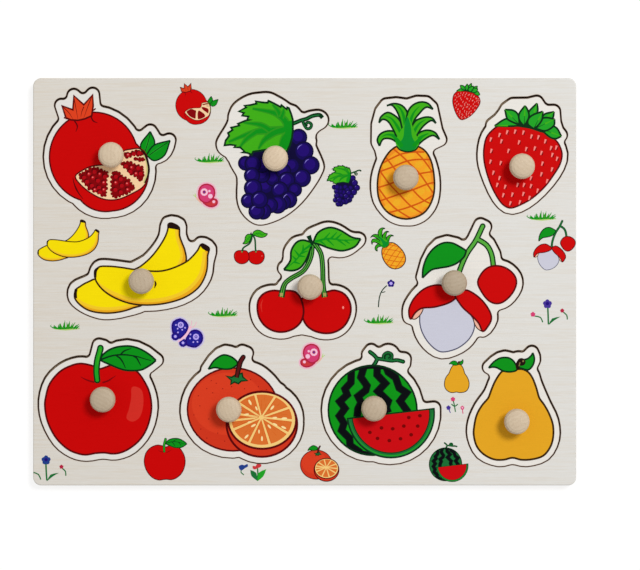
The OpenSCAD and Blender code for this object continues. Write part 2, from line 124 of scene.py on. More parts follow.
class PuzzleInks(bpy.types.PropertyGroup):
    """Inks of the printed pictures."""

    red: paint("Red", "Pomegranate, apple, cherries, strawberry and the lychee's peel", 206, 3, 3)
    dark_red: paint("Dark red", "Outlines of the red fruit and of the orange", 92, 2, 6)
    ruby: paint("Ruby", "Sacs of the pomegranate, and the seeds and pores of the other red fruit", 134, 2, 8)
    garnet: paint("Garnet", "Seeds in the cut pomegranate", 178, 8, 20)
    sheen: paint("Sheen", "Soft highlight on the apple and the cherries", 216, 46, 36)
    flame: paint("Flame", "Crown of the pomegranate", 226, 66, 30)
    rose: paint("Rose", "Glints on the cherries and on the seeds of the red fruit", 250, 140, 132)
    cream: paint("Cream", "Pith of the cut pomegranate", 250, 212, 165)
    lime: paint("Lime", "Yellowish edge of the pomegranate's pith", 212, 202, 132)
    leaf: paint("Leaf green", "Light leaves", 64, 176, 22)
    fresh: paint("Fresh green", "Strawberry's leaves, apple's stalk and pale lines in green", 32, 164, 36)
    green: paint("Green", "Dark leaves and grass", 10, 146, 24)
    sprout: paint("Sprout", "Pale foot of the grass and feelers of the pink butterflies", 186, 216, 124)
    turf: paint("Turf", "Long blades of the grass and light sides of the vine's veins", 46, 150, 26)
    meadow: paint("Meadow green", "Stems, sepals and the rind of the watermelon", 26, 112, 52)
    heart: paint("Heart green", "Middle of the pineapple's crown", 6, 140, 44)
    bud: paint("Bud", "Pale feet of the cherry stems", 172, 160, 92)
    twig: paint("Twig", "Light sides of the lychee and cherry stems", 86, 172, 60)
    forest: paint("Forest green", "Outlines of leaves, stems and the watermelon", 4, 46, 18)
    navy: paint("Navy", "Grapes", 20, 6, 84)
    grape: paint("Grape", "Lit middle of a grape", 34, 10, 112)
    night: paint("Night", "Outlines of the grapes", 12, 6, 52)
    violet: paint("Violet", "Glints on the grapes", 132, 120, 206)
    amber: paint("Amber", "Pineapple", 248, 166, 36)
    honey: paint("Honey", "Edges of the pineapple", 240, 142, 34)
    corn: paint("Corn", "Yellower middles of the pineapple's diamonds", 244, 177, 38)
    rust: paint("Rust", "Criss-cross lines of the pineapple and shade in the orange slice", 212, 88, 14)
    bark: paint("Bark", "Outlines of the yellow fruit and of the lychee's lining", 58, 34, 6)
    yellow: paint("Yellow", "Bananas", 254, 228, 4)
    gold: paint("Gold", "Where the bananas turn to their shaded sides", 250, 206, 40)
    ochre: paint("Ochre", "Shaded sides of the bananas", 240, 172, 30)
    stalk: paint("Stalk", "Stalks, tips of the bananas and shade of the cut pomegranate", 30, 12, 8)
    wine: paint("Wine", "Core of the orange's stalk", 88, 20, 22)
    orange: paint("Orange", "Peel of the orange", 212, 54, 28)
    tangerine: paint("Tangerine", "Lit side of the orange's peel", 222, 62, 32)
    juice: paint("Juice", "Flesh of the orange slice", 224, 114, 46)
    pith: paint("Pith", "Rim and skins of the orange slice", 250, 208, 126)
    kernel: paint("Kernel", "Pips in the orange slice", 255, 230, 164)
    rind: paint("Rind", "Green of the watermelon", 12, 150, 22)
    stripe: paint("Stripe", "Dark stripes of the watermelon", 4, 6, 10)
    melon: paint("Melon", "Red flesh of the watermelon", 206, 8, 16)
    pip: paint("Pip", "Seeds in the watermelon", 120, 0, 0)
    pear: paint("Pear", "Pear", 232, 168, 34)
    moss: paint("Moss", "Glints on the pear's stalk", 140, 124, 70)
    pearl: paint("Pearl", "Peeled lychee", 206, 206, 220)
    slate: paint("Slate", "Outline of the peeled lychee", 84, 84, 108)
    peach: paint("Peach", "Inside of the lychee's peel and bodies of the pink butterflies", 240, 184, 160)
    pink: paint("Pink", "Wings of the pink butterflies and pink flowers", 216, 62, 116)
    cerise: paint("Cerise", "Edges of the pink butterflies and deep pink flowers", 184, 34, 66)
    poppy: paint("Poppy", "Lower wings of the pink butterflies and small red flowers", 206, 56, 62)
    blush: paint("Blush", "Pale spots of the pink butterflies and body of the blue one", 250, 196, 220)
    indigo: paint("Indigo", "Edges of the blue butterfly and the darkest flowers", 34, 12, 120)
    blue: paint("Blue", "Wings of the blue butterfly", 34, 30, 146)
    lilac: paint("Lilac", "Spots of the blue butterfly", 190, 172, 250)
    haze: paint("Haze", "Pale glow round the blue butterfly", 206, 196, 234)
    petal: paint("Petal", "Pale glow round the pink butterflies and feelers of the blue one", 242, 186, 204)
    steel: paint("Steel blue", "Small blue flowers", 34, 62, 138)
    purple: paint("Purple", "Purple flowers", 70, 50, 150)
    # Scorch and the fainter brown beside it: the laser's burn along a cut, together with painted shade of the
    # gap there.
    scorch: paint("Scorch", "Brown rim that the laser leaves along its cut", 66, 42, 32)
    singe_and_edge_shade: paint("Singe", "Fainter brown beside the rim", 160, 138, 120)


class PuzzleSizes(bpy.types.PropertyGroup):
    """Sizes of the print and of the marks that tools leave on the wood."""

    grid_x: length("Grid width", "Width of a unit of the sketching grid", 0.548)
    grid_y: length("Grid height", "Height of a unit of the sketching grid", 0.5562)
    proud: length("Ink height", "How far the ink stands above the wood", 0.03)
    sunk: length("Ink depth", "How far the ink reaches into the wood", 0.02)
    collar: length("Knob collar", "Width of the bare ring that the ink leaves round a knob's foot", 0.1)
    # The rim and its fade: the laser's burn, together with painted shade along the cut.
    rim: length("Scorched rim", "Width of the brown rim along a laser cut", 0.16)
    fade: length("Rim fade", "Width of the rim together with the fainter brown beside it", 0.3)
    curve_steps: whole("Curve steps", "Straight pieces between two points of a large picture", 4)
    small_steps: whole("Small curve steps", "Straight pieces between two points of a small picture", 2)
    bold: factor("Outline weight", "How much bolder a large picture's outlines are than sketched", 1.25)
    small_bold: factor("Small outline weight", "How much bolder a small picture's outlines are", 1.6)


class PuzzleWood(bpy.types.PropertyGroup):
    """Colours of the wood."""

    sheet: paint("Sheet", "Pale ground of the printed sheet", 221, 219, 214)
    sheet_warm: paint("Warm sheet", "Warm streaks of the printed sheet", 215, 205, 190)
    border: paint("Border", "Pale border round the pictures on the pieces", 232, 227, 219)
    burnt: paint("Burnt edge", "Walls left by the laser", 52, 30, 20)
    ply: paint("Ply", "Light layers of the plywood's edges and its back", 212, 188, 150)
    ply_dark: paint("Cross ply", "Layers of the plywood that show end grain", 168, 132, 92)
    knob: paint("Knob", "Turned beech of the knobs", 216, 196, 168)
    knob_dark: paint("Knob rings", "Growth rings on the knobs", 186, 160, 130)


class PuzzleStage(bpy.types.PropertyGroup):
    """Table, light and camera."""

    table: paint("Table", "Colour of the table", 244, 244, 244)
    table_glow: factor("Table glow", "Light that the table gives off towards the camera", 1.08)
    glow_share: factor("Glow share", "Share of that glow in the table's look, the rest being lit", 0.75)
    room_level: factor("Room light", "Strength of the even light of the room", 0.48)
    key_power: FloatProperty(
        name="Key lamp",
        description="Power of the soft lamp at the upper right",
        default=40.6,
        unit="POWER",
    )
    key_size: length("Key lamp size", "Side of the soft lamp at the upper right", 700)
    camera_height: length("Camera height", "Height of the camera above the board's face", 1100)
    camera_x: length("Camera X", "How far right of the board's middle the camera looks down", 8.45)
    camera_y: length("Camera Y", "How far behind the board's middle the camera looks down", -1.79)
    pixels_per_mm: factor("Picture scale", "Pixels that a millimetre of the board's face fills", 1.811)


# Node helpers


def linear(level):
    """The light that a screen level between 0 and 1 stands for."""
    return level / 12.92 if level <= 0.04045 else ((level + 0.055) / 1.055) ** 2.4


def rgba(color):
    return (*(linear(level) for level in color), 1.0)


class Value:
    """A socket that takes part in sums: each operation adds a Math node."""

    def __init__(self, finish, socket):
        self.finish = finish
        self.socket = socket

    def __add__(self, other):
        return self.finish.math("ADD", self, other)

    def __radd__(self, other):
        return self.finish.math("ADD", other, self)

    def __sub__(self, other):
        return self.finish.math("SUBTRACT", self, other)

    def __rsub__(self, other):
        return self.finish.math("SUBTRACT", other, self)

    def __mul__(self, other):
        return self.finish.math("MULTIPLY", self, other)

    def __rmul__(self, other):
        return self.finish.math("MULTIPLY", other, self)

    def __truediv__(self, other):
        return self.finish.math("DIVIDE", self, other)

    def __rtruediv__(self, other):
        return self.finish.math("DIVIDE", other, self)

    def __gt__(self, other):
        return self.finish.math("GREATER_THAN", self, other)

    def __lt__(self, other):
        return self.finish.math("LESS_THAN", self, other)

    def __abs__(self):
        return self.finish.math("ABSOLUTE", self)

    def ramp(self, low, high):
        """0 below low, 1 above high and smooth in between."""
        return self.finish.node(
            "ShaderNodeMapRange",
            {"interpolation_type": "SMOOTHSTEP"},
            {"Value": self, "From Min": low, "From Max": high},
        )


class Finish:
    """A material and the nodes that make it."""

    def __init__(self, name, holder=None):
        self.material = holder or bpy.data.materials.new(name)
        self.material.use_nodes = True
        self.tree = self.material.node_tree
        self.tree.nodes.clear()

    def node(self, kind, settings=None, sockets=None, output=0):
        """Adds a node, makes its settings, then fills its sockets with values or links."""
        made = self.tree.nodes.new(kind)
        for name, value in (settings or {}).items():
            setattr(made, name, value)
        for name, value in (sockets or {}).items():
            if isinstance(value, Value):
                self.tree.links.new(value.socket, made.inputs[name])
            else:
                made.inputs[name].default_value = value
        return Value(self, made.outputs[output])

    def math(self, operation, first, second=0.0):
        return self.node("ShaderNodeMath", {"operation": operation}, {0: first, 1: second})

    def place(self, stretch=(1.0, 1.0, 1.0), shift=(0.0, 0.0, 0.0)):
        """Coordinates on the object, in metres times the stretch."""
        spot = self.node("ShaderNodeTexCoord", output="Object")
        return self.node("ShaderNodeMapping", {}, {"Vector": spot, "Location": shift, "Scale": stretch})

    def axes(self, vector):
        """The three numbers of a vector."""
        split = self.node("ShaderNodeSeparateXYZ", {}, {"Vector": vector})
        return [Value(self, socket) for socket in split.socket.node.outputs]

    def facing(self):
        """The three numbers of the direction in which the surface faces."""
        return self.axes(self.node("ShaderNodeNewGeometry", output="Normal"))

    def sight(self):
        """1 where the camera, a reflection or a glass looks, 0 where light is gathered."""
        camera = self.node("ShaderNodeLightPath", output="Is Camera Ray")
        outputs = camera.socket.node.outputs
        mirror = Value(self, outputs["Is Glossy Ray"])
        glass = Value(self, outputs["Is Transmission Ray"])
        return self.math("MINIMUM", camera + mirror + glass, 1.0)

    def noise(self, vector, scale, detail, roughness=0.55):
        return self.node(
            "ShaderNodeTexNoise",
            {},
            {"Vector": vector, "Scale": scale, "Detail": detail, "Roughness": roughness},
        )

    def grain(self, stretch, scale, shift=(0.0, 0.0, 0.0)):
        """Long fibres: fine noise that is drawn out along one axis."""
        return self.noise(self.place(stretch, shift), scale, 4.0, 0.6)

    def wisps(self):
        """Fine fibres of the printed face, which run on under the ink."""
        return self.grain((22.0, 600.0, 22.0), 5.0, (0.4, 0.1, 0.0))

    def fibres(self):
        """Fibres of bare plywood."""
        return self.grain((5.0, 260.0, 5.0), 8.0)

    def layers(self, height, thickness):
        """Climbs and falls between 0 and 1, once up or down for each layer of plywood."""
        return self.math("PINGPONG", height * MM_PER_METRE, thickness) / thickness

    def blend(self, low, high, share):
        """A colour between two colours."""
        return self.node("ShaderNodeMix", {"data_type": "RGBA"}, {0: share, 6: low, 7: high}, 2)

    def plywood(self, share):
        """A colour between the light and the dark one of bare plywood."""
        wood = bpy.context.scene.puzzle_wood
        return self.blend(rgba(wood.ply), rgba(wood.ply_dark), share)

    def bump(self, height, depth, strength):
        return self.node("ShaderNodeBump", {}, {"Height": height, "Distance": depth, "Strength": strength})

    def surface(self, shader, end="ShaderNodeOutputMaterial"):
        output = self.tree.nodes.new(end)
        self.tree.links.new(shader.socket, output.inputs["Surface"])
        return self.material

    def gloss(self, sockets):
        """Ends the material in one Principled shader."""
        return self.surface(self.node("ShaderNodeBsdfPrincipled", {}, sockets))


# Finishes


def printed_plywood(name, ground, warm, burnt_outside):
    """A sheet with a pale printed face, walls burnt by the laser and a bare back."""
    finish = Finish(name)
    facing = finish.facing()
    x, y, z = finish.axes(finish.place())
    # Printed face: horizontal brushed streaks, a little warmer towards the left
    streaks = finish.grain((6.0, 190.0, 6.0), 6.0)
    wisps = finish.wisps()
    cloud = finish.noise(finish.place(), 9.0, 2.0)
    warmth = streaks.ramp(0.42, 0.66) * 0.4 + (0.5 - x * 3.0) * 0.5 + cloud * 0.2 - 0.15
    face = finish.blend(rgba(ground), rgba(warm), warmth)
    face = finish.blend(face, WHITE, wisps.ramp(0.5, 0.8) * 0.22)
    # Cut walls: scorched, with paler fibres where a layer of the plywood runs along the cut
    layers = finish.layers(z, FACE_LAYER)
    scorch = finish.noise(finish.place((1.0, 1.0, 5.0)), 240.0, 3.0)
    wood = bpy.context.scene.puzzle_wood
    pale = layers.ramp(0.35, 0.8) * scorch.ramp(0.45, 0.75) * 0.3
    wall = finish.blend(rgba(wood.burnt), rgba(wood.ply_dark), pale)
    if not burnt_outside:
        # The sides of the board are sawn, so that they show the bare layers
        sawn = finish.plywood(layers.ramp(0.4, 0.6) * 0.7 + scorch * 0.25)
        outer = finish.math("MAXIMUM", abs(x) > OUTER_X, abs(y) > OUTER_Y)
        wall = finish.blend(wall, sawn, outer)
    back = finish.plywood(finish.fibres().ramp(0.4, 0.7) * 0.5)
    up = facing[2] > FACING
    down = facing[2] < -FACING
    return finish.gloss(
        {
            "Base Color": finish.blend(finish.blend(wall, face, up), back, down),
            "Roughness": 0.86 - up * 0.3 + streaks * 0.08,
            "Specular IOR Level": 0.2,
            "Normal": finish.bump(wisps + streaks * 0.6 + scorch * (1 - up) * 1.5, 0.05 * MM, 0.5),
        }
    )


def plain_plywood(name):
    """Bare plywood: broad pale figure on its faces and layers on its edges."""
    finish = Finish(name)
    figure = finish.noise(finish.place((3.0, 14.0, 1.0)), 4.0, 2.0)
    rings = finish.math("SINE", figure * 60.0) * 0.5 + 0.5
    fibres = finish.fibres()
    flat = finish.plywood(rings * 0.22 + fibres.ramp(0.4, 0.75) * 0.4)
    height = finish.axes(finish.place())[2]
    edge = finish.plywood(finish.layers(height, BACKING_LAYER).ramp(0.4, 0.6) * 0.8)
    level = abs(finish.facing()[2]) > FACING
    return finish.gloss(
        {
            "Base Color": finish.blend(edge, flat, level),
            "Roughness": 0.66 + fibres * 0.16,
            "IOR": 1.45,
            "Normal": finish.bump(fibres + rings * 0.2, 0.06 * MM, 0.6),
        }
    )


def turned_beech(name, seat, tone, seed):
    """A knob turned from a beech dowel: growth rings on the end grain and flecks down the sides."""
    wood = bpy.context.scene.puzzle_wood
    finish = Finish(name)
    # The heart of the tree lies beside the knob, so that its rings cross the end as arcs
    turn = HEART_TURN * seed
    heart = (-(seat.x + HEART * math.cos(turn)), -(seat.y + HEART * math.sin(turn)), 0.0)
    rings = finish.node(
        "ShaderNodeTexWave",
        {"wave_type": "RINGS", "rings_direction": "Z"},
        {
            "Vector": finish.place((1.0, 1.0, 0.15), heart),
            "Scale": 150.0,
            "Distortion": 3.0,
            "Detail": 2.0,
            "Detail Scale": 1.2,
        },
        1,
    )
    flecks = finish.noise(finish.place((900.0, 900.0, 160.0)), 1.0, 2.0)
    cloud = finish.noise(finish.place((1.0, 1.0, 0.4), (0.1 * seed, 0.0, 0.0)), 150.0, 3.0)
    light, dark = ([level * tone for level in color] for color in (wood.knob, wood.knob_dark))
    share = rings * 0.16 + flecks.ramp(0.52, 0.7) * 0.16 + cloud * 0.4 - 0.06
    return finish.gloss(
        {
            "Base Color": finish.blend(rgba(light), rgba(dark), share),
            "Roughness": 0.5 + flecks * 0.2,
            "IOR": 1.45,
            "Normal": finish.bump(flecks * 0.6 + rings * 0.4, 0.04 * MM, 0.5),
        }
    )


def ink_finish(ink):
    """A printed ink: the wood's fibres show through it, and it is glossier than the wood."""
    name = "ink_" + ink
    if name in bpy.data.materials:
        return bpy.data.materials[name]
    finish = Finish(name)
    wisps = finish.wisps()
    speckle = finish.noise(finish.place(), 1400.0, 2.0)
    color = getattr(bpy.context.scene.puzzle_inks, ink)
    deep = [level * 0.96 for level in color]
    light = [level + (1 - level) * 0.008 for level in color]
    share = wisps.ramp(0.3, 0.75) * 0.5 + speckle * 0.5
    return finish.gloss(
        {
            "Base Color": finish.blend(rgba(deep), rgba(light), share),
            "Roughness": 0.42 + wisps * 0.16,
            "Specular IOR Level": 0.03,
            "Normal": finish.bump(wisps, 0.04 * MM, 0.4),
        }
    )


# Sketching


def spline(a, b, c, d, t):
    """Where a smooth curve through four numbers has got to, a share t of the way from b to c."""
    return (2 * b + (c - a) * t + (2 * a - 5 * b + 4 * c - d) * t**2 + (3 * b - a - 3 * c + d) * t**3) / 2


def curve(points, steps, closed=False):
    """Smooth curve through points: a ring, or a line with its end."""
    count = len(points)
    if count < 3:
        return list(points)
    ring = []
    for i in range(count if closed else count - 1):
        b, c = points[i], points[(i + 1) % count]
        a = points[i - 1] if closed or i else (2 * b[0] - c[0], 2 * b[1] - c[1])
        d = points[(i + 2) % count] if closed or i + 2 < count else (2 * c[0] - b[0], 2 * c[1] - b[1])
        for step in range(steps):
            ring.append(tuple(spline(*numbers, step / steps) for numbers in zip(a, b, c, d)))
    return ring if closed else ring + [points[-1]]


def round_ring(centre, across, up, facets, tilt=0.0):
    """Ellipse about a centre, turned by a tilt in degrees."""
    lean = math.radians(tilt)
    ring = []
    for i in range(facets):
        turn = 2 * math.pi * i / facets
        x, y = across * math.cos(turn), up * math.sin(turn)
        right = centre[0] + x * math.cos(lean) - y * math.sin(lean)
        ring.append((right, centre[1] + x * math.sin(lean) + y * math.cos(lean)))
    return ring


def arc(centre, radius, start, end, parts=5):
    """Points of an arc between two angles in degrees."""
    turns = [math.radians(start + (end - start) * i / parts) for i in range(parts + 1)]
    return [(centre[0] + radius * math.cos(t), centre[1] + radius * math.sin(t)) for t in turns]


def moved(point, right, up):
    return (point[0] + right, point[1] + up)


def unit(start, end):
    """Direction from one point to another, one unit long."""
    size = math.dist(start, end) or 1.0
    return ((end[0] - start[0]) / size, (end[1] - start[1]) / size)


class Picture:
    """Flat shapes on the sketching grid, each laid over the ones before it.

    A fine picture has details that a small copy leaves out.
    """

    def __init__(self, steps, bold=1.0, fine=True):
        self.steps = steps
        self.bold = bold
        self.fine = fine
        self.shapes = []

    def lay(self, ink, rings, within=None):
        """Lays one shape of any number of rings, clipped to an earlier shape if one is named."""
        self.shapes.append((ink, rings, within))
        return len(self.shapes) - 1

    def area(self, ink, points, curved=True, within=None):
        """A closed outline, filled."""
        ring = curve(points, self.steps, closed=True) if curved else list(points)
        return self.lay(ink, [ring], within)

    def leaf(self, ink, out, back, edge=None, width=1.0, core=None):
        """A blade: one side out from its base to its tip and one back, with a dark core if asked."""
        back = [out[-1], *back, out[0]]
        far, near = curve(out, self.steps), curve(back, self.steps)
        made = self.lay(ink, [far[:-1] + near[:-1]])
        if core:
            middle = [((a[0] + b[0]) / 2, (a[1] + b[1]) / 2) for a, b in zip(out, reversed(back))]
            self.line(core, middle[:-1], CORE, within=made, taper=(1, 0.8, 0.1))
        if edge:
            for side in (far, near):
                self.line(edge, side, width * self.bold, curved=False)

    def disc(self, ink, centre, across, up=None, within=None, tilt=0.0):
        """An ellipse, with more facets the larger it is."""
        fewest, most = FACETS
        facets = max(fewest, min(most, int(across * 2 * self.steps / 3) + 4))
        return self.lay(ink, [round_ring(centre, across, up or across, facets, tilt)], within)

    def line(self, ink, points, width, curved=True, within=None, taper=(1.0, 1.0)):
        """A stroke. A taper gives shares of the width along it, evenly spaced."""
        path = curve(points, self.steps) if curved else list(points)
        path = [p for i, p in enumerate(path) if i == 0 or math.dist(p, path[i - 1]) > SHORTEST]
        closed = math.dist(path[0], path[-1]) < SHORTEST
        last = len(path) - 1
        sides = []
        for i, here in enumerate(path):
            ahead = path[i + 1] if i < last else (path[1] if closed else here)
            behind = path[i - 1] if i else (path[-2] if closed else here)
            into = unit(behind, here) if behind != here else unit(here, ahead)
            out = unit(here, ahead) if ahead != here else into
            square = (-(into[1] + out[1]), into[0] + out[0])
            size = math.hypot(*square) or 1.0
            square = (square[0] / size, square[1] / size)
            bend = abs(square[1] * out[0] - square[0] * out[1])
            mitre = min(WIDEST_BEND, 1 / max(SHARPEST_BEND, bend))
            place = i / last * (len(taper) - 1)
            low = min(int(place), len(taper) - 2)
            share = taper[low] + (taper[low + 1] - taper[low]) * (place - low)
            half = max(HAIR, width * share / 2) * mitre
            right, up = square[0] * half, square[1] * half
            sides.append((moved(here, right, up), moved(here, -right, -up)))
        rings = []
        for (left, right), (far_left, far_right) in zip(sides, sides[1:]):
            rings += [[left, right, far_right], [left, far_right, far_left]]
        self.lay(ink, rings, within)

    def rim(self, shape, ink, width):
        """Outlines every ring of a shape."""
        for ring in list(self.shapes[shape][1]):
            self.line(ink, ring + ring[:1], width * self.bold, curved=False)


# Pictures. Each drawing lays its shapes on the picture p.


def draw_pomegranate(p):
    """Two leaves, the fruit with its crown, and its cut face full of seeds."""
    for out, back, vein in (
        (
            [(93, 58), (91.5, 67), (101, 79.5)], [(105.5, 68), (99, 57)],
            [(95.5, 59), (98.5, 68), (101, 77.5)],
        ),
        (
            [(97, 56), (105, 66), (121, 70.5)], [(115.5, 56), (105, 50.5)],
            [(100, 56), (108.5, 62), (118.5, 68.5)],
        ),
    ):
        p.leaf("green", out, back, "forest", 1.2)
        p.line("fresh", vein, 2.6, taper=(0.5, 1, 0.2))
        p.line("forest", vein, 0.8)
    lobes = (((44, 54), 44.5, 44.5), ((60.6, 39), 38.6, 38.4), ((56, 28), 31.2, 28))
    for ink, more in (("dark_red", 0.7 * p.bold), ("red", -0.7)):
        p.lay(ink, [round_ring(middle, across + more, up + more, 56) for middle, across, up in lobes])
    p.line("dark_red", arc((60.6, 39), 38, 188, 224), 1.6, taper=(0.3, 1, 0.3))
    # Crown
    crown = p.area("flame", [
        (16, 93), (12, 105), (23, 101), (24, 115), (34, 106), (43, 116), (43.5, 105), (42, 95), (35, 92),
        (28, 90.5), (21, 91),
    ], curved=False)
    p.rim(crown, "dark_red", 1.4)
    for strip in (
        [(24, 113), (26, 103), (28, 92)], [(42, 114), (38, 104), (34, 93)], [(13, 104), (19, 98), (23, 92)],
        [(34, 104), (32, 99), (31, 94)],
    ):
        p.line("dark_red", strip, 0.9, taper=(1, 0.7, 0.3))
    for tick in (
        [(24, 91), (27.5, 85), (26, 79)], [(41, 95), (43.5, 90), (48, 88)],
        [(46, 102.4), (44, 100.7), (42, 100)], [(14, 93.4), (16.5, 92.2), (19, 91.5)],
    ):
        p.line("dark_red", tick, 1.4, taper=(1, 1, 0.3))
    # Cut face
    face = p.area("cream", [
        (25.5, 35), (32, 40.5), (42, 45), (56, 46.5), (69, 47), (73, 54), (74, 60), (82, 62), (90, 62.5),
        (96, 58), (99.5, 45), (98, 32), (93, 24), (83, 18), (70, 12.5), (59, 11.5), (49, 14), (38, 20.5),
        (29.5, 28),
    ])
    p.line("lime", [(91, 61.5), (97, 52), (98.3, 40), (95, 28)], 3.0, within=face)
    p.rim(face, "dark_red", 1.1)
    sacs = (
        [
            (30.5, 36.5), (36.4, 40.5), (44.3, 44), (51.5, 41), (57.5, 38.8), (57, 31), (56.6, 23),
            (55.6, 16), (48.5, 18), (39.5, 22.8), (33, 30),
        ],
        [
            (63.8, 38), (67, 39), (72.5, 35.7), (79.3, 31), (83.6, 25.5), (82.6, 21.4), (77, 18.2),
            (70, 15.4), (63.4, 15), (62.2, 21.5), (61.8, 29.5),
        ],
        [
            (72.8, 47.4), (78, 49), (85.1, 47.1), (92.4, 43.8), (93.5, 39), (93, 33.4), (90.6, 31.6),
            (85.4, 35.4), (78.4, 40.2),
        ],
        [(75.6, 57), (83, 59), (90, 60), (93, 57.6), (91.4, 56.4), (85, 55.9), (77.4, 54.1)],
        [(86, 52.2), (90.4, 52.7), (95, 51.4), (90.4, 51)],
    )
    for sac in sacs:
        if p.fine:
            # Bulges of the seeds along the edge of the sac
            for ink, more in (("dark_red", 0.5), ("ruby", 0)):
                for index, place in enumerate(curve(sac, 2, closed=True)):
                    p.disc(ink, place, (1.5, 0.7, 1.1)[index % 3] + more)
        p.area("ruby", sac)
    seeds = (
        (34, 34), (39, 37.5), (44.5, 40), (50, 37.5), (55, 35), (37, 30), (43, 34), (48, 31), (54, 29),
        (42, 26), (49, 24), (54, 22), (50, 19.5), (45, 22), (66, 35), (71, 32.5), (66, 29), (72, 26),
        (77.5, 28), (65.5, 22), (71, 19.5), (78, 22), (76, 45.5), (82, 44), (88.5, 43.5), (80.5, 40),
        (86.5, 38), (91, 38), (78.5, 56.5), (84, 57.5), (89.5, 58.5),
    )
    if p.fine:
        for index, seed in enumerate(seeds):
            p.disc("dark_red", moved(seed, -0.5, 0.5), 2.3)
            p.disc("garnet", moved(seed, 0.3, -0.4), 2.1)
            if index % 5 in (1, 3):
                p.disc("poppy", seed, 1.1)
                p.disc("rose", seed, 0.6)
    shade = [(90, 63), (96, 56), (99.4, 44.5), (98.8, 36), (95.2, 28.5)]
    p.line("stalk", shade, 2.2, taper=(0.4, 1, 1, 0.4))


def draw_grapes(p):
    """The vine, the bunch in three layers and a toothed leaf."""
    vine = [(66, 92.5), (78.3, 97.6), (84.3, 99.3), (90.4, 102.2), (97.4, 103.2), (100.6, 100.3)]
    curl = [
        (80.5, 97.7), (82, 93.5), (84.8, 89.7), (88.2, 90.3), (89.4, 93.7), (86.6, 95.9), (83.8, 94.3),
        (84.4, 91.9),
    ]
    p.line("forest", vine, 4.2)
    p.line("forest", curl, 3.2)
    p.line("meadow", vine[:-1], 1.1)
    p.line("meadow", curl[:-1], 0.9)
    p.area("night", [
        (68, 85.5), (80, 78.5), (89, 63.5), (91, 51.5), (83, 35.5), (73, 25.5), (63, 11.5), (46, 5.5),
        (36, 5.5), (28, 15.5), (26.5, 27.5), (26.5, 43.5), (24, 57.5), (33, 69.5), (53, 74.5),
    ])
    spots = ((69.9, 52.8), (43.4, 32.5), (50.7, 40.3), (40, 43.5), (40, 53.5), (55, 55.5), (61, 47.5))
    behind = tuple((spot, 7.5) for spot in spots)
    left = (
        ((22.8, 55.3), 7), ((30.5, 54.7), 8.2), ((29.5, 43.2), 7.8), ((30.5, 30.7), 8.8),
        ((25.8, 18.2), 7.2),
    )
    right = (
        ((76.6, 81), 8.2), ((81.8, 67.2), 9.4), ((88.6, 53.3), 8.8), ((79.9, 40.7), 8.8),
        ((64.5, 38.3), 8.3), ((72.8, 29), 6.8), ((57.4, 28.7), 8.3), ((66.6, 19.1), 8.2), ((61, 16.5), 7.5),
        ((55.5, 14.3), 8.8), ((48, 13.5), 7.5), ((40.7, 7.6), 8), ((34.3, 7.6), 8), ((37.2, 19.1), 8.4),
    )
    for middle, size in behind + left + right:
        p.disc("night", middle, size + 0.5)
        p.disc("navy", middle, size - 0.9)
        p.disc("grape", moved(middle, -0.8, 1.0), size - 3.2)
    for middle, size in left[2:] + right[1:5] + right[6:8] + right[12:]:
        p.line("violet", arc(middle, size - 2.6, 165, 105), 1.0, taper=(0.2, 1, 0.2))
    leaf = p.area("leaf", [
        (70.7, 98.3), (69.2, 103.7), (66.8, 109.9), (65, 110.7), (64.5, 108.8), (59.2, 113), (58.4, 111.1),
        (52.2, 114.5), (46.1, 117.3), (45.3, 115.3), (39.9, 115.7), (33.3, 116.8), (34.2, 114.5),
        (27.6, 113), (21.9, 112.5), (23.8, 110.7), (16.1, 106.8), (21.5, 105.3), (19.5, 102.5),
        (26.1, 101.7), (24.5, 98.3), (29.2, 98.3), (23, 97.6), (15.3, 94.5), (16.8, 92.7), (8.4, 90.7),
        (9.9, 88.3), (5.3, 85.3), (6.5, 82.5), (3, 77.9), (1.8, 73), (7.6, 73.7), (13, 73), (11.5, 71.1),
        (17.6, 71), (22.2, 66.8), (18.4, 65.7), (24.5, 65.7), (29.2, 63.7), (30.7, 66.8), (39.2, 68),
        (48, 69.5), (64.5, 66.8), (67.6, 73), (69.9, 80.7), (70.7, 88.3),
    ], curved=False)
    for vein, width in (
        ([(69, 88.5), (54, 88), (40, 87.5), (26, 84.5), (6, 76.5)], 5.4),
        ([(66, 91.5), (61, 99.5), (51, 105.5), (30, 109.5)], 4.8),
        ([(62, 88.5), (52, 85.5), (42, 78.5), (36, 69.5)], 4.6),
        ([(68, 87.5), (61, 79.5), (57, 70.5)], 3.8), ([(48, 88), (38, 93.5), (21, 95.5)], 3.2),
        ([(34, 86.5), (24, 79.5), (16, 69.5)], 2.8), ([(58, 102.5), (55, 108.5), (50, 113.5)], 2.6),
        ([(59, 100.5), (61, 105.5), (61.5, 109.5)], 2.2),
    ):
        p.line("turf", vein, width + 3.4, within=leaf, taper=(1, 0.9, 0.3))
        p.line("green", vein, width + 0.6, within=leaf, taper=(1, 0.8, 0.2))
    p.area("green", [
        (62, 93.5), (71, 97.5), (71, 85.5), (68, 73.5), (62, 68.5), (59, 73.5), (63, 83.5),
    ], within=leaf)
    p.rim(leaf, "forest", 1.6)


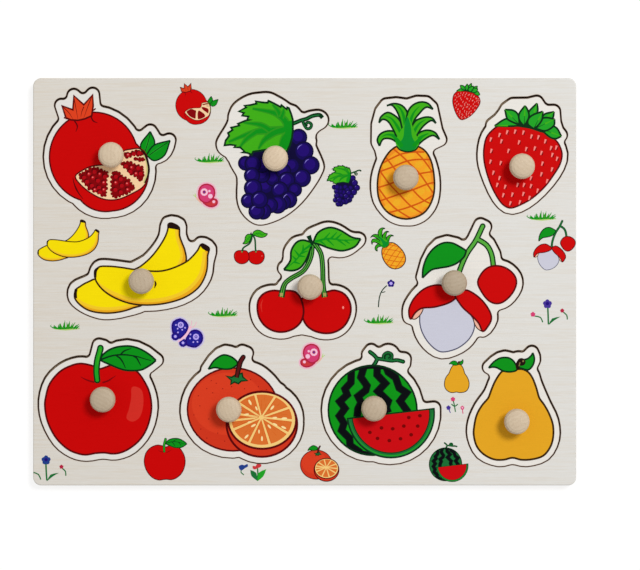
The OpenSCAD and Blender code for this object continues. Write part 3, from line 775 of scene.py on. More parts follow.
def draw_pineapple(p):
    """The fruit with its diamonds and a crown of curved leaves."""
    body = p.area("honey", [
        (30, 0.5), (12.8, 6), (3, 19), (1, 36), (4, 52), (12, 66), (21, 73), (30, 75), (41, 73), (50, 67),
        (56, 55), (58.5, 35), (56, 19), (47, 6),
    ])
    p.area("amber", [
        (30, 3), (15, 8), (6, 20), (4, 36), (7, 51), (14, 63), (30, 71), (48, 63), (53, 52), (55.5, 35),
        (53, 20), (45, 8),
    ], within=body)
    for patch in (
        (10, 53.5), (22, 58.5), (34, 63), (46.5, 63.2), (9, 42), (42.5, 54.5), (52, 49), (47, 39), (8, 27),
        (20.5, 17), (32.5, 23), (44.5, 27.5), (54, 31), (11.5, 12), (23, 6.5), (38, 10.5), (50, 16),
    ):
        p.disc("corn", patch, 4.4, 3.2, within=body, tilt=25)
    for strip in (
        [(6.7, 56.2), (16.2, 61.2), (26, 65.3), (37.7, 67), (48, 67)],
        [(3, 47.5), (17, 52.5), (27.8, 57.1), (39.4, 59.5), (54, 59.5)],
        [(1, 31.5), (13.7, 35.5), (28, 41), (43.5, 45.5), (58, 47.8)],
        [(3, 18.3), (20.3, 24.3), (36, 29.3), (51, 35.1), (59, 37)],
        [(11, 6.5), (26, 10.3), (36, 13.6), (47, 18.1), (57.5, 24.5)],
        [(16.5, 70.5), (25.3, 63.3), (33.6, 55.4), (43.5, 45.5), (51, 35.1), (58.5, 24.5)],
        [(37, 70), (46, 60.8), (51, 54.6), (56.5, 47)],
        [(8.5, 63), (16.2, 53), (25.5, 41.5), (36, 30.1), (46, 20.2), (55, 15.5)],
        [(2.5, 49.5), (12.9, 35.5), (23.7, 24.3), (34.4, 13.6), (48, 5)],
        [(2.5, 30.5), (11.2, 19), (21.2, 9.4), (34, 1.5)],
    ):
        p.line("rust", strip, 1.6, within=body)
    p.rim(body, "bark", 1.5)
    for out, back in (
        (
            [(27, 68), (23, 74), (16, 79.5), (9, 80.5), (5.5, 78.5), (3, 73)],
            [(0.8, 79), (4, 85), (11.5, 88), (20, 86.5), (29, 78)],
        ),
        (
            [(37, 68), (42, 74), (49, 80), (57, 83.5), (63.5, 79.5)],
            [(59.5, 86), (53.5, 88.5), (47, 88), (40, 84), (34, 78)],
        ),
        (
            [(29, 70), (21, 81), (17, 89), (12, 97), (6.5, 99.5), (2.5, 96)],
            [(4.5, 102), (11, 106.3), (18, 103.5), (24, 97.5), (31, 84)],
        ),
        (
            [(34, 70), (41, 84), (47, 92.5), (55, 98.3), (60, 95.5)],
            [(56.5, 100.5), (51, 101.8), (44, 100.2), (38, 96.5), (32, 84)],
        ),
        (
            [(31, 75), (26, 90), (23, 102), (19, 110), (15, 113.7), (10.3, 113)],
            [(17, 115.1), (24, 114), (29, 110), (31.5, 104), (33, 90)],
        ),
        (
            [(32, 75), (37, 96), (43, 105), (50, 111.5), (57, 109.5)],
            [(52, 115.2), (44.5, 116.7), (36.5, 113.5), (31.3, 106), (30, 92)],
        ),
    ):
        p.leaf("leaf", out, back, "forest", 1.5, core="green")
    heart = p.area("leaf", [
        (28, 94), (31.5, 103), (35, 96), (39, 86), (43, 77), (39.5, 70), (31.5, 67.5), (23.5, 69.5),
        (19, 77), (23, 86),
    ])
    p.area("heart", [
        (31.2, 102), (34.5, 93), (36, 82), (40.5, 74), (38, 69.5), (31.5, 67.5), (25, 69.5), (22.5, 74),
        (27, 82), (28.2, 93),
    ], within=heart)
    p.area("green", [(27, 74), (19, 83), (11, 85), (17, 81), (23, 72)])
    p.area("green", [(36, 74), (44, 82), (53, 85.5), (47, 81.5), (40, 73)])
    p.line("forest", [(20.5, 72.5), (24, 69), (31.5, 67.2), (39, 69), (42.5, 73)], 1.5)


def draw_strawberry(p):
    """The fruit with its seeds and a ruff of leaves."""
    body = p.area("red", [
        (15, 82), (27, 82.5), (40, 81), (55, 78), (67, 72), (75, 65), (79, 54.5), (77, 44), (71, 34),
        (62, 22), (50, 11), (39, 4.5), (28, 0.5), (20.5, 3), (14.5, 10), (8, 22), (3, 36), (0.3, 49),
        (0.5, 61), (4, 72.5),
    ])
    p.rim(body, "dark_red", 1.3)
    seeds = [
        (7, 68.4), (15.8, 72.8), (23.5, 75.5), (31.5, 76.1), (39.8, 75.2), (48, 71.3), (55, 70.5),
        (17.7, 66.5), (35.4, 65.5), (61.9, 66.5), (42.7, 58.8), (51.3, 59.4), (58, 55), (67.7, 59.8),
        (73, 60.2), (69, 53), (73.8, 49.2), (24.8, 57), (7.5, 57), (6.7, 46.3), (17, 45), (59, 44.4),
        (68.7, 38.6), (9.6, 35.3), (15.8, 30), (58, 33.8), (47.5, 30), (63.8, 27), (13.5, 23.2),
        (21.5, 21.3), (34, 23.2), (40.4, 23.2), (47.5, 22), (54.2, 17.5), (19.6, 13), (28.7, 13.6),
        (39.8, 14.2), (46, 10.3), (26.7, 5), (36.3, 6),
    ]
    if not p.fine:
        # The small copy has no knob, so seeds fill its middle too
        seeds += [(29, 50), (38, 49), (47, 43), (26, 39), (34.5, 41), (42.5, 37), (29, 31)]
    for seed in seeds:
        for spot in (seed,) if p.fine else (seed, moved(seed, 5, -5)):
            p.line("ruby", [moved(spot, 1.3, 1.6), moved(spot, 0.6, -2.3)], 1.9, curved=False, within=body)
            glint = [moved(spot, 0.7, 2.1), moved(spot, -0.6, -1.9)]
            p.line("rose", glint, 2.1, curved=False, within=body, taper=(1, 1, 0.5))
    p.area("forest", [(20, 82), (35, 88), (50, 89), (65, 83), (71, 76), (60, 75), (45, 79.5), (30, 81.5)])
    for out, back in (
        ([(48, 86), (45.5, 93), (46.5, 97.3), (53.8, 104.4)], [(54.6, 97.3), (52, 91)]),
        ([(58, 86), (61, 93.4), (71, 96)], [(69.6, 89.6), (64, 85.5)]),
        ([(38, 82.5), (27, 81.5), (11, 82)], [(20, 88), (27, 89.5), (35, 86.5)]),
        ([(36, 83), (27.5, 86.5), (23.5, 89.6), (21.5, 98.2)], [(30, 97.3), (35, 92.5)]),
        ([(58, 79), (66, 82.2), (73.5, 80), (78.3, 71.7)], [(73, 69.3), (67.7, 70.2), (62, 74.5)]),
        ([(40.8, 81.5), (36, 87.7), (36, 94.4), (41.7, 102)], [(44.6, 97.3), (45.6, 90.5)]),
        ([(52.3, 79.5), (56, 87.7), (63, 90.2), (71.5, 88.6)], [(70.6, 82), (62, 77)]),
        ([(50.4, 79), (44.6, 83.8), (45.6, 89.6), (51, 93.5), (59.6, 96.3)], [(59, 88.6), (55, 82.5)]),
    ):
        p.leaf("fresh", out, back, "forest", 1.5)
        base, tip = out[0], out[-1]
        mid = ((base[0] + tip[0]) / 2, (base[1] + tip[1]) / 2)
        p.line("leaf", [mid, tip], 1.7, curved=False, taper=(1, 0.2))
        p.line("forest", [base, mid], 0.8, curved=False, taper=(1, 0.4))


def draw_bananas(p):
    """The one behind on the right, the one behind on the left, then the front one."""
    right = p.area("yellow", [
        (58, 41), (66, 46.5), (74, 53), (80.5, 60), (87, 69), (91.5, 77), (93.8, 84), (94.2, 88.5),
        (98, 89.4), (104.8, 85.5), (105.6, 77), (108, 70), (111, 62), (111.8, 51), (103, 39), (77, 35),
    ])
    shade = [(102, 83), (103.5, 73), (106.6, 64), (107.4, 55), (102, 43)]
    p.area("ochre", shade + [(115, 43), (115, 63), (109, 75), (106, 85)], within=right)
    p.line("gold", shade, 2.6, within=right)
    p.rim(right, "bark", 1.4)
    p.area("stalk", [(93.6, 88.2), (97, 90), (105.2, 86.4), (105.5, 83), (99, 83.8), (93.8, 85)])
    left = p.area("yellow", [
        (25, 34), (13, 31), (5, 26.5), (0.8, 23), (0, 15), (7, 7), (17, 2), (32, 0.2), (47, 1.8), (59, 5.5),
        (68, 10), (47, 23),
    ])
    shade = [(0, 16), (7, 10.5), (19, 6), (33, 4.6), (48, 6), (60, 9.5), (69, 10)]
    p.area("ochre", shade + [(59, 1), (33, -2), (7, 2)], within=left)
    p.line("gold", shade, 3.0, within=left)
    p.rim(left, "bark", 1.4)
    p.line("stalk", [(1.4, 24), (0.6, 20), (0.8, 15)], 3.0)
    front = p.area("yellow", [
        (23.5, 45.5), (34, 46.7), (47, 45.5), (60, 43.5), (75, 42), (87, 42), (99, 45), (112, 51),
        (119, 57), (124, 63), (127.5, 68.5), (134.8, 64), (133.8, 57), (133.7, 51), (133, 43), (130, 34),
        (124, 25), (113, 17), (100, 12), (85, 9), (69, 8.3), (55, 10), (41, 15), (31, 21), (24, 28),
        (20.5, 35.5),
    ])
    shade = [
        (22, 30), (30, 24.5), (42, 18.7), (56, 14), (70, 12.7), (85, 13.4), (99, 16.6), (111, 22),
        (120, 29.4), (126.6, 39), (129.4, 50), (130.6, 61),
    ]
    p.area(
        "ochre", shade + [(137, 64), (137, 41), (127, 21), (102, 7), (67, 4), (37, 13), (22, 23)],
        within=front,
    )
    p.line("gold", shade, 3.4, within=front)
    # A short dark stroke at the right edge of the knob: painted shade beside the knob.
    if p.fine:
        p.line("bark", [(80.6, 32.5), (81.4, 29), (80.2, 25)], 2.2, taper=(0.4, 1, 0.3))
    p.rim(front, "bark", 1.4)
    p.area("stalk", [(126.3, 67.5), (129, 69.7), (135.8, 65.6), (135.3, 61.2), (129.5, 63.5)])
    p.line("stalk", [(23.8, 45.5), (20.8, 42), (20.5, 35.5)], 3.2, taper=(0.6, 1, 0.8))


def draw_cherries(p):
    """Two cherries on curved stems and two veined leaves."""
    right = p.area("red", [
        (45.5, 33), (52.5, 38.4), (61, 41), (69.5, 40.8), (79, 42.7), (89, 39), (94.8, 30), (95, 19),
        (89.5, 8), (80.5, 1.7), (69.5, 0), (57.5, 3), (49.5, 10), (45.5, 22),
    ])
    p.rim(right, "dark_red", 1.6)
    left = p.area("red", [
        (2.5, 33), (1.4, 24), (3.5, 15), (9.5, 7), (18.5, 2.2), (28.5, 1.5), (38.5, 5), (45.5, 12),
        (48, 22), (45.5, 33.5), (40.5, 40.4), (33.5, 42.4), (25.5, 42), (16.5, 42.4), (8, 39.5),
    ])
    p.line("sheen", [(7, 34), (5.1, 28), (6.1, 21)], 1.4, within=left, taper=(0.2, 1, 0.2))
    p.rim(left, "dark_red", 1.6)
    p.disc("rose", (87.8, 25.6), 1.0, 1.6)
    for stem in (
        [(56.5, 90), (56, 79), (52.5, 69), (46.5, 61), (34.5, 54), (28.5, 48), (25.5, 36)],
        [(58.5, 90), (65, 80), (67, 68), (67.5, 53), (68.1, 44), (69.3, 36)],
    ):
        p.line("forest", stem, 5.2, taper=(1, 1, 1, 1, 1, 1.3))
        p.line("twig" if p.fine else "meadow", stem, 2.7, taper=(1, 1, 1, 1, 1, 1.2))
        p.line("forest", stem, 0.9)
        p.line("bud", [moved(stem[-1], 0, 4.2), moved(stem[-1], 0, 0.8)], 3.2, curved=False)
    for top, low in (
        (
            [(56.5, 90), (47.5, 92.5), (40.5, 90), (35.5, 82), (34.5, 72), (28, 63.2)],
            [(36.5, 62.2), (44.5, 65), (50.5, 73), (54.5, 83)],
        ),
        (
            [(57.5, 90), (62.5, 100), (73.5, 105), (84.5, 102.5), (96.5, 95.5), (105.5, 93.7)],
            [(99.5, 86), (87.5, 82), (75.5, 84), (64.5, 88)],
        ),
    ):
        p.leaf("leaf", top, low, "forest", 1.6)
    for vein in (
        [(55.5, 88), (47.5, 82), (40.5, 73), (30.5, 64.5)], [(47.5, 82), (47.5, 88)],
        [(43.5, 77), (49.5, 76)], [(43.5, 77), (38.5, 83)], [(38.5, 71), (44.5, 69)],
        [(40.5, 73), (36.5, 77)], [(45.5, 79.5), (52.5, 82)],
        [(59.5, 91), (72.5, 94), (87.5, 92.5), (102.5, 93)], [(68.5, 93), (74.5, 100)],
        [(71.5, 93.5), (78.5, 87)], [(80.5, 93.5), (86.5, 99)], [(82.5, 93), (90.5, 87)],
        [(64.5, 92), (70.5, 87)], [(75.5, 94), (81.5, 100.5)], [(89.5, 92.5), (94.5, 89)],
    ):
        p.line("green", vein, 2.4, taper=(1, 0.3))
    p.line("forest", [(56.5, 89), (54, 94.5), (53, 97)], 4.2, taper=(0.7, 1, 1.2))


def draw_lychee(p):
    """A branch with a leaf, a small fruit and a large one with its peel opened."""
    branches = (
        [(75, 125.5), (68, 111), (59, 98), (52, 82), (48.5, 68), (47.5, 56)],
        [(69, 113), (79, 106.5), (84, 97), (86, 84)],
    )
    for ink, width, cap in (("forest", 5.8, 3.0), ("twig" if p.fine else "meadow", 2.9, 1.6)):
        for branch in branches:
            p.line(ink, branch, width)
        p.disc(ink, (75, 125.3), cap)
    p.leaf(
        "green",
        [(58.5, 101), (52, 105), (44, 108.7), (35, 108.7), (26, 103.7), (19, 95), (15, 84), (14.3, 74)],
        [(23, 81.7), (31, 83.8), (41, 85.5), (49, 88.7), (56, 94.7)], "forest", 1.5,
    )
    small = p.area("red", [
        (75, 80), (82, 85), (91, 86), (100, 83), (107, 76.5), (109, 68.5), (105, 59), (97, 51), (89, 48.5),
        (81, 51.5), (74, 60), (70, 70),
    ])
    p.rim(small, "dark_red", 1.4)
    fruit = p.area("pearl", [
        (47, 56), (57, 44), (65, 34), (66.7, 26), (64, 17.5), (58, 10), (48, 3.5), (35, 0.5), (27, 3.5),
        (19, 11.5), (13.3, 22), (11.5, 33), (14, 43), (28, 49),
    ])
    p.rim(fruit, "slate", 1.0)
    for lining in (
        [(2, 35.4), (5, 42), (12, 46), (15, 43.4), (11.8, 37), (6.4, 33)],
        [(65.4, 34.6), (71, 34), (78, 28), (75.5, 21), (68.6, 25)],
    ):
        p.rim(p.area("peach", lining), "bark", 0.8)
    for peel in (
        [
            (48, 57), (35, 66), (25, 66.5), (15, 62.5), (6, 54), (1, 44), (1, 36), (3, 33.5), (7, 39.5),
            (14, 44), (26, 45), (39, 48.5), (46, 52.5),
        ],
        [
            (47.5, 57), (57, 62), (66, 58.5), (75, 51), (82, 41), (83.7, 33), (80, 25.5), (75, 21),
            (71, 29), (64, 36.5), (56, 43.5), (50.5, 50.5),
        ],
    ):
        p.rim(p.area("red", peel), "dark_red", 1.4)


def draw_apple(p):
    """The fruit, its stalk and one leaf."""
    body = p.area("red", [
        (49, 88.5), (41, 90.5), (35, 91), (28, 89.5), (18, 85), (10, 78), (4, 69), (1, 58), (0, 49),
        (2, 36), (7, 24), (14, 14), (24, 5.5), (34, 1.5), (42, 0.5), (51, 2), (60, 2.5), (68, 1.5),
        (76, 2.5), (85, 6.5), (95, 14.5), (102, 25), (106, 37), (107.5, 49), (105.5, 62), (101, 72),
        (94, 82), (84, 88.5), (72, 90.5), (64, 88.5), (57, 86), (53, 86),
    ])
    if p.fine:
        p.area("sheen", [
            (87.5, 67), (93, 67.7), (98.3, 63), (99.2, 50), (95.8, 38.2), (88.5, 33.4), (82.3, 37),
            (84.8, 46), (87, 57),
        ], within=body)
    p.rim(body, "dark_red", 1.5)
    for crease in (
        [(36, 78), (41, 75.2), (46, 73.5), (50, 72.5)], [(71.5, 79), (67, 76), (64, 74), (58, 72)],
    ):
        p.line("ruby", crease, 1.6, taper=(0.3, 1, 1))
    stem = [(56.2, 106.7), (55, 102), (53.3, 96), (52.2, 89), (52, 82), (52.6, 76), (53, 73)]
    for ink, width, way in (("forest", 6.8, stem), ("fresh", 3.8, stem[:-1])):
        p.line(ink, way, width, taper=(1, 1, 0.95))
        p.disc(ink, (56, 106.4), width / 2)
        p.disc(ink, (52.8, 74.6), width / 2)
    p.line("leaf", [(56.4, 105.5), (55.3, 101.5), (53.6, 95), (52.8, 90)], 1.5, taper=(1, 0.3))
    p.leaf(
        "green",
        [
            (56, 94.5), (57.5, 98.5), (61, 102), (66, 105.2), (72, 107.3), (78, 108.2), (85, 108.4),
            (92, 107), (99, 104), (106, 99.5), (112, 94.2),
        ],
        [
            (108, 90.7), (103, 87.5), (98, 85), (92, 84), (85, 84), (79, 84.8), (72, 87.2), (65, 90.2),
            (59, 92.8),
        ],
        "forest", 1.5,
    )
    for vein in (
        [
            (56, 94.6), (62, 97), (68, 98.8), (75, 99.7), (81, 99.7), (87, 99), (94, 97.7), (100, 95.8),
            (107, 94),
        ],
        [(72, 99), (76, 96), (79, 91.5), (81.2, 86.5)], [(76.5, 100), (80, 103.5), (87, 106)],
        [(89, 98.7), (92.5, 96.5), (94.5, 93), (96.7, 89)],
    ):
        p.line("forest", vein, 1.7, taper=(1, 0.9, 0.4))


def draw_orange(p):
    """A whole orange and a cut half in front of it."""
    body = p.disc("orange", (46.3, 46.5), 45.8, 41.2)
    p.disc("tangerine", (41, 52), 36, 31, within=body)
    for fleck in (
        (24.5, 75), (20, 67), (29.5, 72.5), (11.5, 60), (36, 67), (13, 50), (22, 37), (31, 23), (14, 27),
        (45, 69), (64, 76), (72, 69), (26, 63), (38, 15), (7, 41), (80, 66), (58, 67), (20, 18),
    ):
        p.disc("ruby", fleck, 0.55)
    p.rim(body, "dark_red", 1.4)
    p.leaf(
        "green", [(51, 91), (50, 94.5), (45, 98.5), (39, 100.5), (34, 99.7), (27, 94.7), (21.5, 86.5)],
        [(28, 88), (33, 87.2), (38, 86.4), (45, 87.1)], "forest", 1.4,
    )
    star = p.area("meadow", [
        (39.5, 79.7), (45, 78.4), (49, 80.8), (55.6, 82.4), (56.4, 78.6), (61, 75), (54.8, 74.6),
        (51.8, 72), (47.8, 73.6), (44.2, 71.4), (44.8, 75.4),
    ], curved=False)
    p.rim(star, "forest", 1.2)
    stalk = [(56.8, 98.6), (53.6, 93), (51.8, 86), (50, 78)]
    for ink, width in (("stalk", 5.6), ("wine", 2.8)):
        p.line(ink, stalk, width, taper=(0.9, 1, 0.8))
        p.disc(ink, (56.8, 98.4), width * 0.46)
    skin = p.disc("orange", (75.5, 31.8), 35.6, 32.4)
    p.rim(skin, "dark_red", 1.7)
    cut = p.disc("pith", (75.7, 35.7), 34.3, 28.3)
    p.rim(cut, "dark_red", 1.7)
    flesh = p.disc("juice", (75.5, 36.3), 30.4, 25)
    core = (75, 38.5)
    skins = (-6.3, 22.6, 60.6, 103, 143, 170, 187, 207, 247.4, 285, 325, 353.7)
    for start, end in zip(skins, skins[1:]):
        for share, near, far in ((0.3, 7, 17), (0.68, 10, 21), (0.5, 20, 26)):
            turn = math.radians(start + (end - start) * share)
            way = (math.cos(turn), math.sin(turn) * 0.84)
            stroke = [moved(core, way[0] * reach, way[1] * reach) for reach in (near, far)]
            p.line("rust", stroke, 1.3, curved=False, within=flesh, taper=(0.2, 1, 0.2))
    for turn in skins[1:]:
        way = (math.cos(math.radians(turn)), math.sin(math.radians(turn)) * 0.84)
        tip = moved(core, way[0] * 36, way[1] * 36)
        for ink, width in (("rust", 2.9), ("pith", 1.9 if p.fine else 2.9)):
            p.line(ink, [core, tip], width, curved=False, within=flesh, taper=(0.8, 1, 1.4))
    p.disc("pith", core, 2.6, 2.2)
    pips = (
        ((98, 37.5), 2.6, 4), ((97.5, 28.5), 2.4, -25), ((88.5, 38.2), 2.2, 5), ((89, 31.5), 2.2, -30),
        ((60, 19.5), 2.4, 45), ((75.6, 17.5), 2.2, 90), ((72.6, 24.5), 1.8, 90), ((67, 30.5), 2.4, 30),
        ((63.5, 53.5), 2.6, -62), ((70, 47.5), 2.0, -65), ((86, 48.2), 2.4, 50), ((83, 29.5), 2.2, -50),
        ((60, 41.5), 2.2, 10), ((63, 34), 1.8, 15),
    )
    if p.fine:
        for middle, size, tilt in pips:
            p.disc("kernel", middle, size * 1.15, size * 0.44, within=flesh, tilt=tilt)


def draw_watermelon(p):
    """A striped melon with a curled twig, and a slice in front of it."""
    twigs = (
        ([(42.6, 105.6), (46.5, 102.6), (50, 98.8)], 4.4, 1.7),
        ([(50, 99), (56, 98.2), (64, 97), (70, 97.4), (76, 96)], 4.2, 1.6),
        ([(50, 99), (48.2, 95), (45, 90.5)], 4.4, 1.7),
        ([(56, 98.4), (56.4, 102.6), (60.4, 105.2), (64.6, 103.2), (64.4, 98.8), (61.4, 97)], 3.2, 1.1),
    )
    for index, ink in enumerate(("forest", "meadow")):
        for way, *widths in twigs:
            p.line(ink, way, widths[index])
        for end in ((42.6, 105.6), (76, 96)):
            p.disc(ink, end, (2.2, 0.9)[index])
        p.disc(ink, (60.6, 101.2), (4.2, 3.2)[index])
    p.line("forest", [(57.4, 98.4), (58.2, 102.2), (61.4, 103.4), (63, 101), (60.8, 99.2)], 1.3)
    body = p.disc("rind" if p.fine else "meadow", (45.3, 47.7), 44.6)
    for stripe in (
        [
            (23.9, 89), (23.4, 75.3), (17.4, 68.8), (19.6, 63.1), (12.2, 56.3), (17.4, 49.5), (11.8, 42),
            (16.4, 34.7), (14, 27.7), (22, 19.8), (22.6, 12.8), (33.5, 5.3),
        ],
        [
            (36.6, 91), (33.4, 80.6), (39.6, 72), (38.4, 67.6), (30.6, 61.5), (33.6, 55.5), (30.4, 49),
            (29.6, 41),
        ],
        [(50, 93), (49.7, 83), (58, 74.4), (50.6, 66.6), (61, 56.6), (59, 51), (61, 45)],
        [(58, 93), (61, 85.5), (68.4, 80.1), (72, 69.9), (79.4, 65), (73, 56.8), (81.6, 45)],
    ):
        p.line("forest", stripe, 7.8 if p.fine else 10, curved=False, within=body)
        p.line("stripe", stripe, 6.2 if p.fine else 7.6, curved=False, within=body)
    for start, end in ((62, 120), (238, 272)):
        edge = arc((45.3, 47.7), 43.6, start, end, 12)
        p.line("stripe", edge, 5.0, within=body, taper=(0.1, 1, 1, 0.1))
    p.rim(body, "forest", 1.5)
    middle, lean = (63.6, 44.4), 6.5
    half = [arc(middle, radius, 180 + lean, 360 + lean, 32) for radius in (44.6, 43.1, 39.6, 38.5, 41.8)]
    for ink, ring in zip(("forest", "meadow", "forest"), half):
        p.lay(ink, [ring])
    p.line("fresh", half[4][1:32], 1.1, curved=False, taper=(0.3, 1, 1, 0.3))
    flesh = p.lay("melon", [half[3]])
    p.line("forest", [half[0][0], half[0][-1]], 1.5, curved=False)
    pips = (
        (81.7, 40.5), (92.9, 42.3), (54.2, 30.2), (65.5, 29.3), (76.7, 32), (90.7, 32), (42.5, 25.7),
        (50.2, 19.8), (62.1, 17.6), (73.4, 19.4), (84.1, 23.4),
    )
    if p.fine:
        for pip in pips:
            p.disc("pip", pip, 2.0, 1.8, within=flesh)


def draw_pear(p):
    """The fruit, its stalk and two leaves."""
    body = p.area("pear", [
        (30, 88.5), (24, 81), (20, 73), (17, 65), (15, 61), (9, 54), (4, 45), (1.5, 34), (1, 25), (4, 14),
        (11, 6), (21, 1), (31, 0.5), (40, 2.5), (49, 0.5), (60, 1), (71, 4.5), (78, 13), (81, 23),
        (80.8, 35), (77, 46), (72, 55), (67, 62), (64, 72), (60, 82), (55, 88.2), (48, 90.6), (38, 89.2),
    ])
    p.rim(body, "bark", 1.6)
    p.leaf(
        "green",
        [
            (45.5, 91), (42.5, 96.5), (40, 99.5), (36, 101.7), (31, 102), (27, 101.2), (22.5, 98.7),
            (19, 95.5), (16, 91.7),
        ],
        [(20, 92.5), (24, 92), (27.5, 90.2), (31, 88.5), (37, 87.7), (43, 88.7)], "forest", 1.4,
    )
    p.leaf(
        "green",
        [(46.5, 91.5), (46.8, 94.5), (48, 98), (51, 99.7), (55, 100.7), (58.5, 103.5), (60.6, 106.7)],
        [(62, 102), (61.8, 97.5), (59.8, 93), (56.5, 90), (53, 90), (49, 91.3)], "forest", 1.4,
    )
    p.line("stalk", [(45.6, 89.5), (45.2, 94), (46.6, 98)], 4.2, taper=(0.7, 1, 1))
    p.disc("stalk", (49, 97.6), 4.3, 3.9)
    p.disc("moss", (50.8, 98.4), 1.0)
    p.line("moss", [(47.6, 97.2), (46.6, 93.4)], 0.9, curved=False)


def draw_grass(p, foot):
    """A tuft with a curled blade at its left end."""
    for ink, points, width, taper in (
        ("sprout", ((-11, -0.6), (0, -1.2), (14, -0.4)), 1.9, (0.5, 1, 0.3)),
        ("green", ((-13, 0.6), (-6, -0.4), (5, 0), (14, 0.4)), 1.3, (1, 1, 0.3)),
        ("green", ((-13, 0.6), (-15.4, 2.2), (-14.4, 3.8)), 1.0, (1, 0.3)),
    ):
        p.line(ink, [moved(foot, *point) for point in points], width, taper=taper)
    for right, lean, height in (
        (-10.5, -2, 2.4), (-9, -3, 3.2), (-7.5, 0.4, 3.8), (-6.5, 1.6, 4.6), (-5, -1.6, 4.4), (-4, -2, 5.2),
        (-2.6, 1.4, 6.4), (-1.5, 0.6, 8.0), (-0.6, -1.6, 5.0), (0.5, 3, 5.6), (1.8, -0.8, 6.2), (3, 1, 7.4),
        (4.4, 2.6, 5.0), (5.5, 4, 6.0), (7.5, 6, 4.4), (8.6, 2, 3.4), (10, 4, 2.8),
    ):
        blade = [moved(foot, right, -0.2), moved(foot, right + lean, height)]
        p.line("turf" if height > 5.1 else "green", blade, 2.1, curved=False, taper=(1, 0.15))


def draw_bloom(p, ink, middle, size):
    """A small flower head of round petals."""
    for turn in (90, 162, 234, 306, 18):
        p.disc(ink, arc(middle, size * 0.55, turn, turn, 1)[0], size * 0.5)
    p.disc(ink, middle, size * 0.5)


def draw_blue_butterfly(p):
    """A butterfly seen from above."""
    upper = [
        (140.3, 156.5), (141.5, 162.3), (148.2, 165.2), (154, 161.9), (156.1, 156.5), (153.2, 150.7),
        (148.2, 146.5), (144, 147.3), (141.5, 150.7),
    ]
    lower = [
        (156.5, 149), (159.8, 153.2), (164.8, 154), (169, 151.5), (170.7, 146.5), (169, 141.5),
        (164, 137.7), (159, 138.2), (154.8, 139.8), (154, 144),
    ]
    lobes = ((143.4, 148), (151.1, 141.6))
    for wing in (upper, lower):
        p.line("haze", curve(wing, 2, closed=True) + wing[:1], 4.6, curved=False)
    for lobe in lobes:
        p.disc("haze", lobe, 5.2)
    for wing in (upper, lower):
        p.rim(p.area("blue", wing), "indigo", 1.8)
    for lobe in lobes:
        p.disc("indigo", lobe, 4.2)
        p.disc("blue", lobe, 2.8)
        p.disc("lilac", lobe, 1.5)
    for place in ((148.8, 159.4), (164.2, 147.6)):
        p.disc("lilac", place, 3.2)
        p.disc("blue", place, 1.6)
        p.disc("lilac", place, 0.8)
    for place in (
        (144, 159.4), (145.7, 155.7), (150.3, 154.6), (153.2, 156.6), (146, 152), (158.6, 150),
        (158.2, 146), (161.5, 142.4), (165.7, 142.6),
    ):
        p.disc("lilac", place, 0.9)
    body = [(145.7, 142.4), (150.2, 145.7), (154, 149.2), (156.8, 153.2), (158.6, 158)]
    p.line("blush", body, 2.4, taper=(0.5, 1, 1, 1.2))
    p.line("petal", [(158, 156.5), (159.6, 160), (159.8, 163.6)], 0.7)
    p.line("petal", [(158.8, 156.6), (163, 158.6), (164.6, 162.4)], 0.7)


def draw_pink_butterfly(p, body, way):
    """A butterfly seen from the side, with its head to the left or to the right."""
    lobe = ((5, -1), (11, -0.5), (17, 1), (20, -1), (19.4, -4.6), (15, -6.8), (9.4, -5.4))
    wing = (
        (2, 1.5), (1.6, 9), (4.4, 14), (10, 15.6), (15.6, 13), (17.6, 7), (15.6, 1.5), (10.6, -2.6), (6, -2),
    )
    lobe, wing = ([moved(body, way * right, up) for right, up in part] for part in (lobe, wing))
    for part in (lobe, wing):
        p.line("petal", curve(part, 2, closed=True) + part[:1], 4.4, curved=False)
    for ink, part in (("poppy", lobe), ("pink", wing)):
        p.rim(p.area(ink, part), "cerise", 1.5)
    for right, up, size in ((7, 7.8, 3.8), (12.2, 8.8, 1.3), (13.2, 3.7, 2.4), (16.6, -1.8, 1.6)):
        p.disc("blush", moved(body, way * right, up), size)
    p.disc("cerise", moved(body, way * 7, 7.8), 1.9)
    p.disc("purple", moved(body, way * 7, 7.8), 1.0)
    head = moved(body, way * -1.2, 2.6)
    p.line("peach", [moved(body, way * 4.4, -3.6), moved(body, way * 1.0, 0), head], 1.6, taper=(0.4, 1, 0.6))
    for right, up in ((-4.0, 5.0), (-2.2, 6.4)):
        p.line("sprout", [head, moved(body, way * right, up)], 0.7, curved=False)


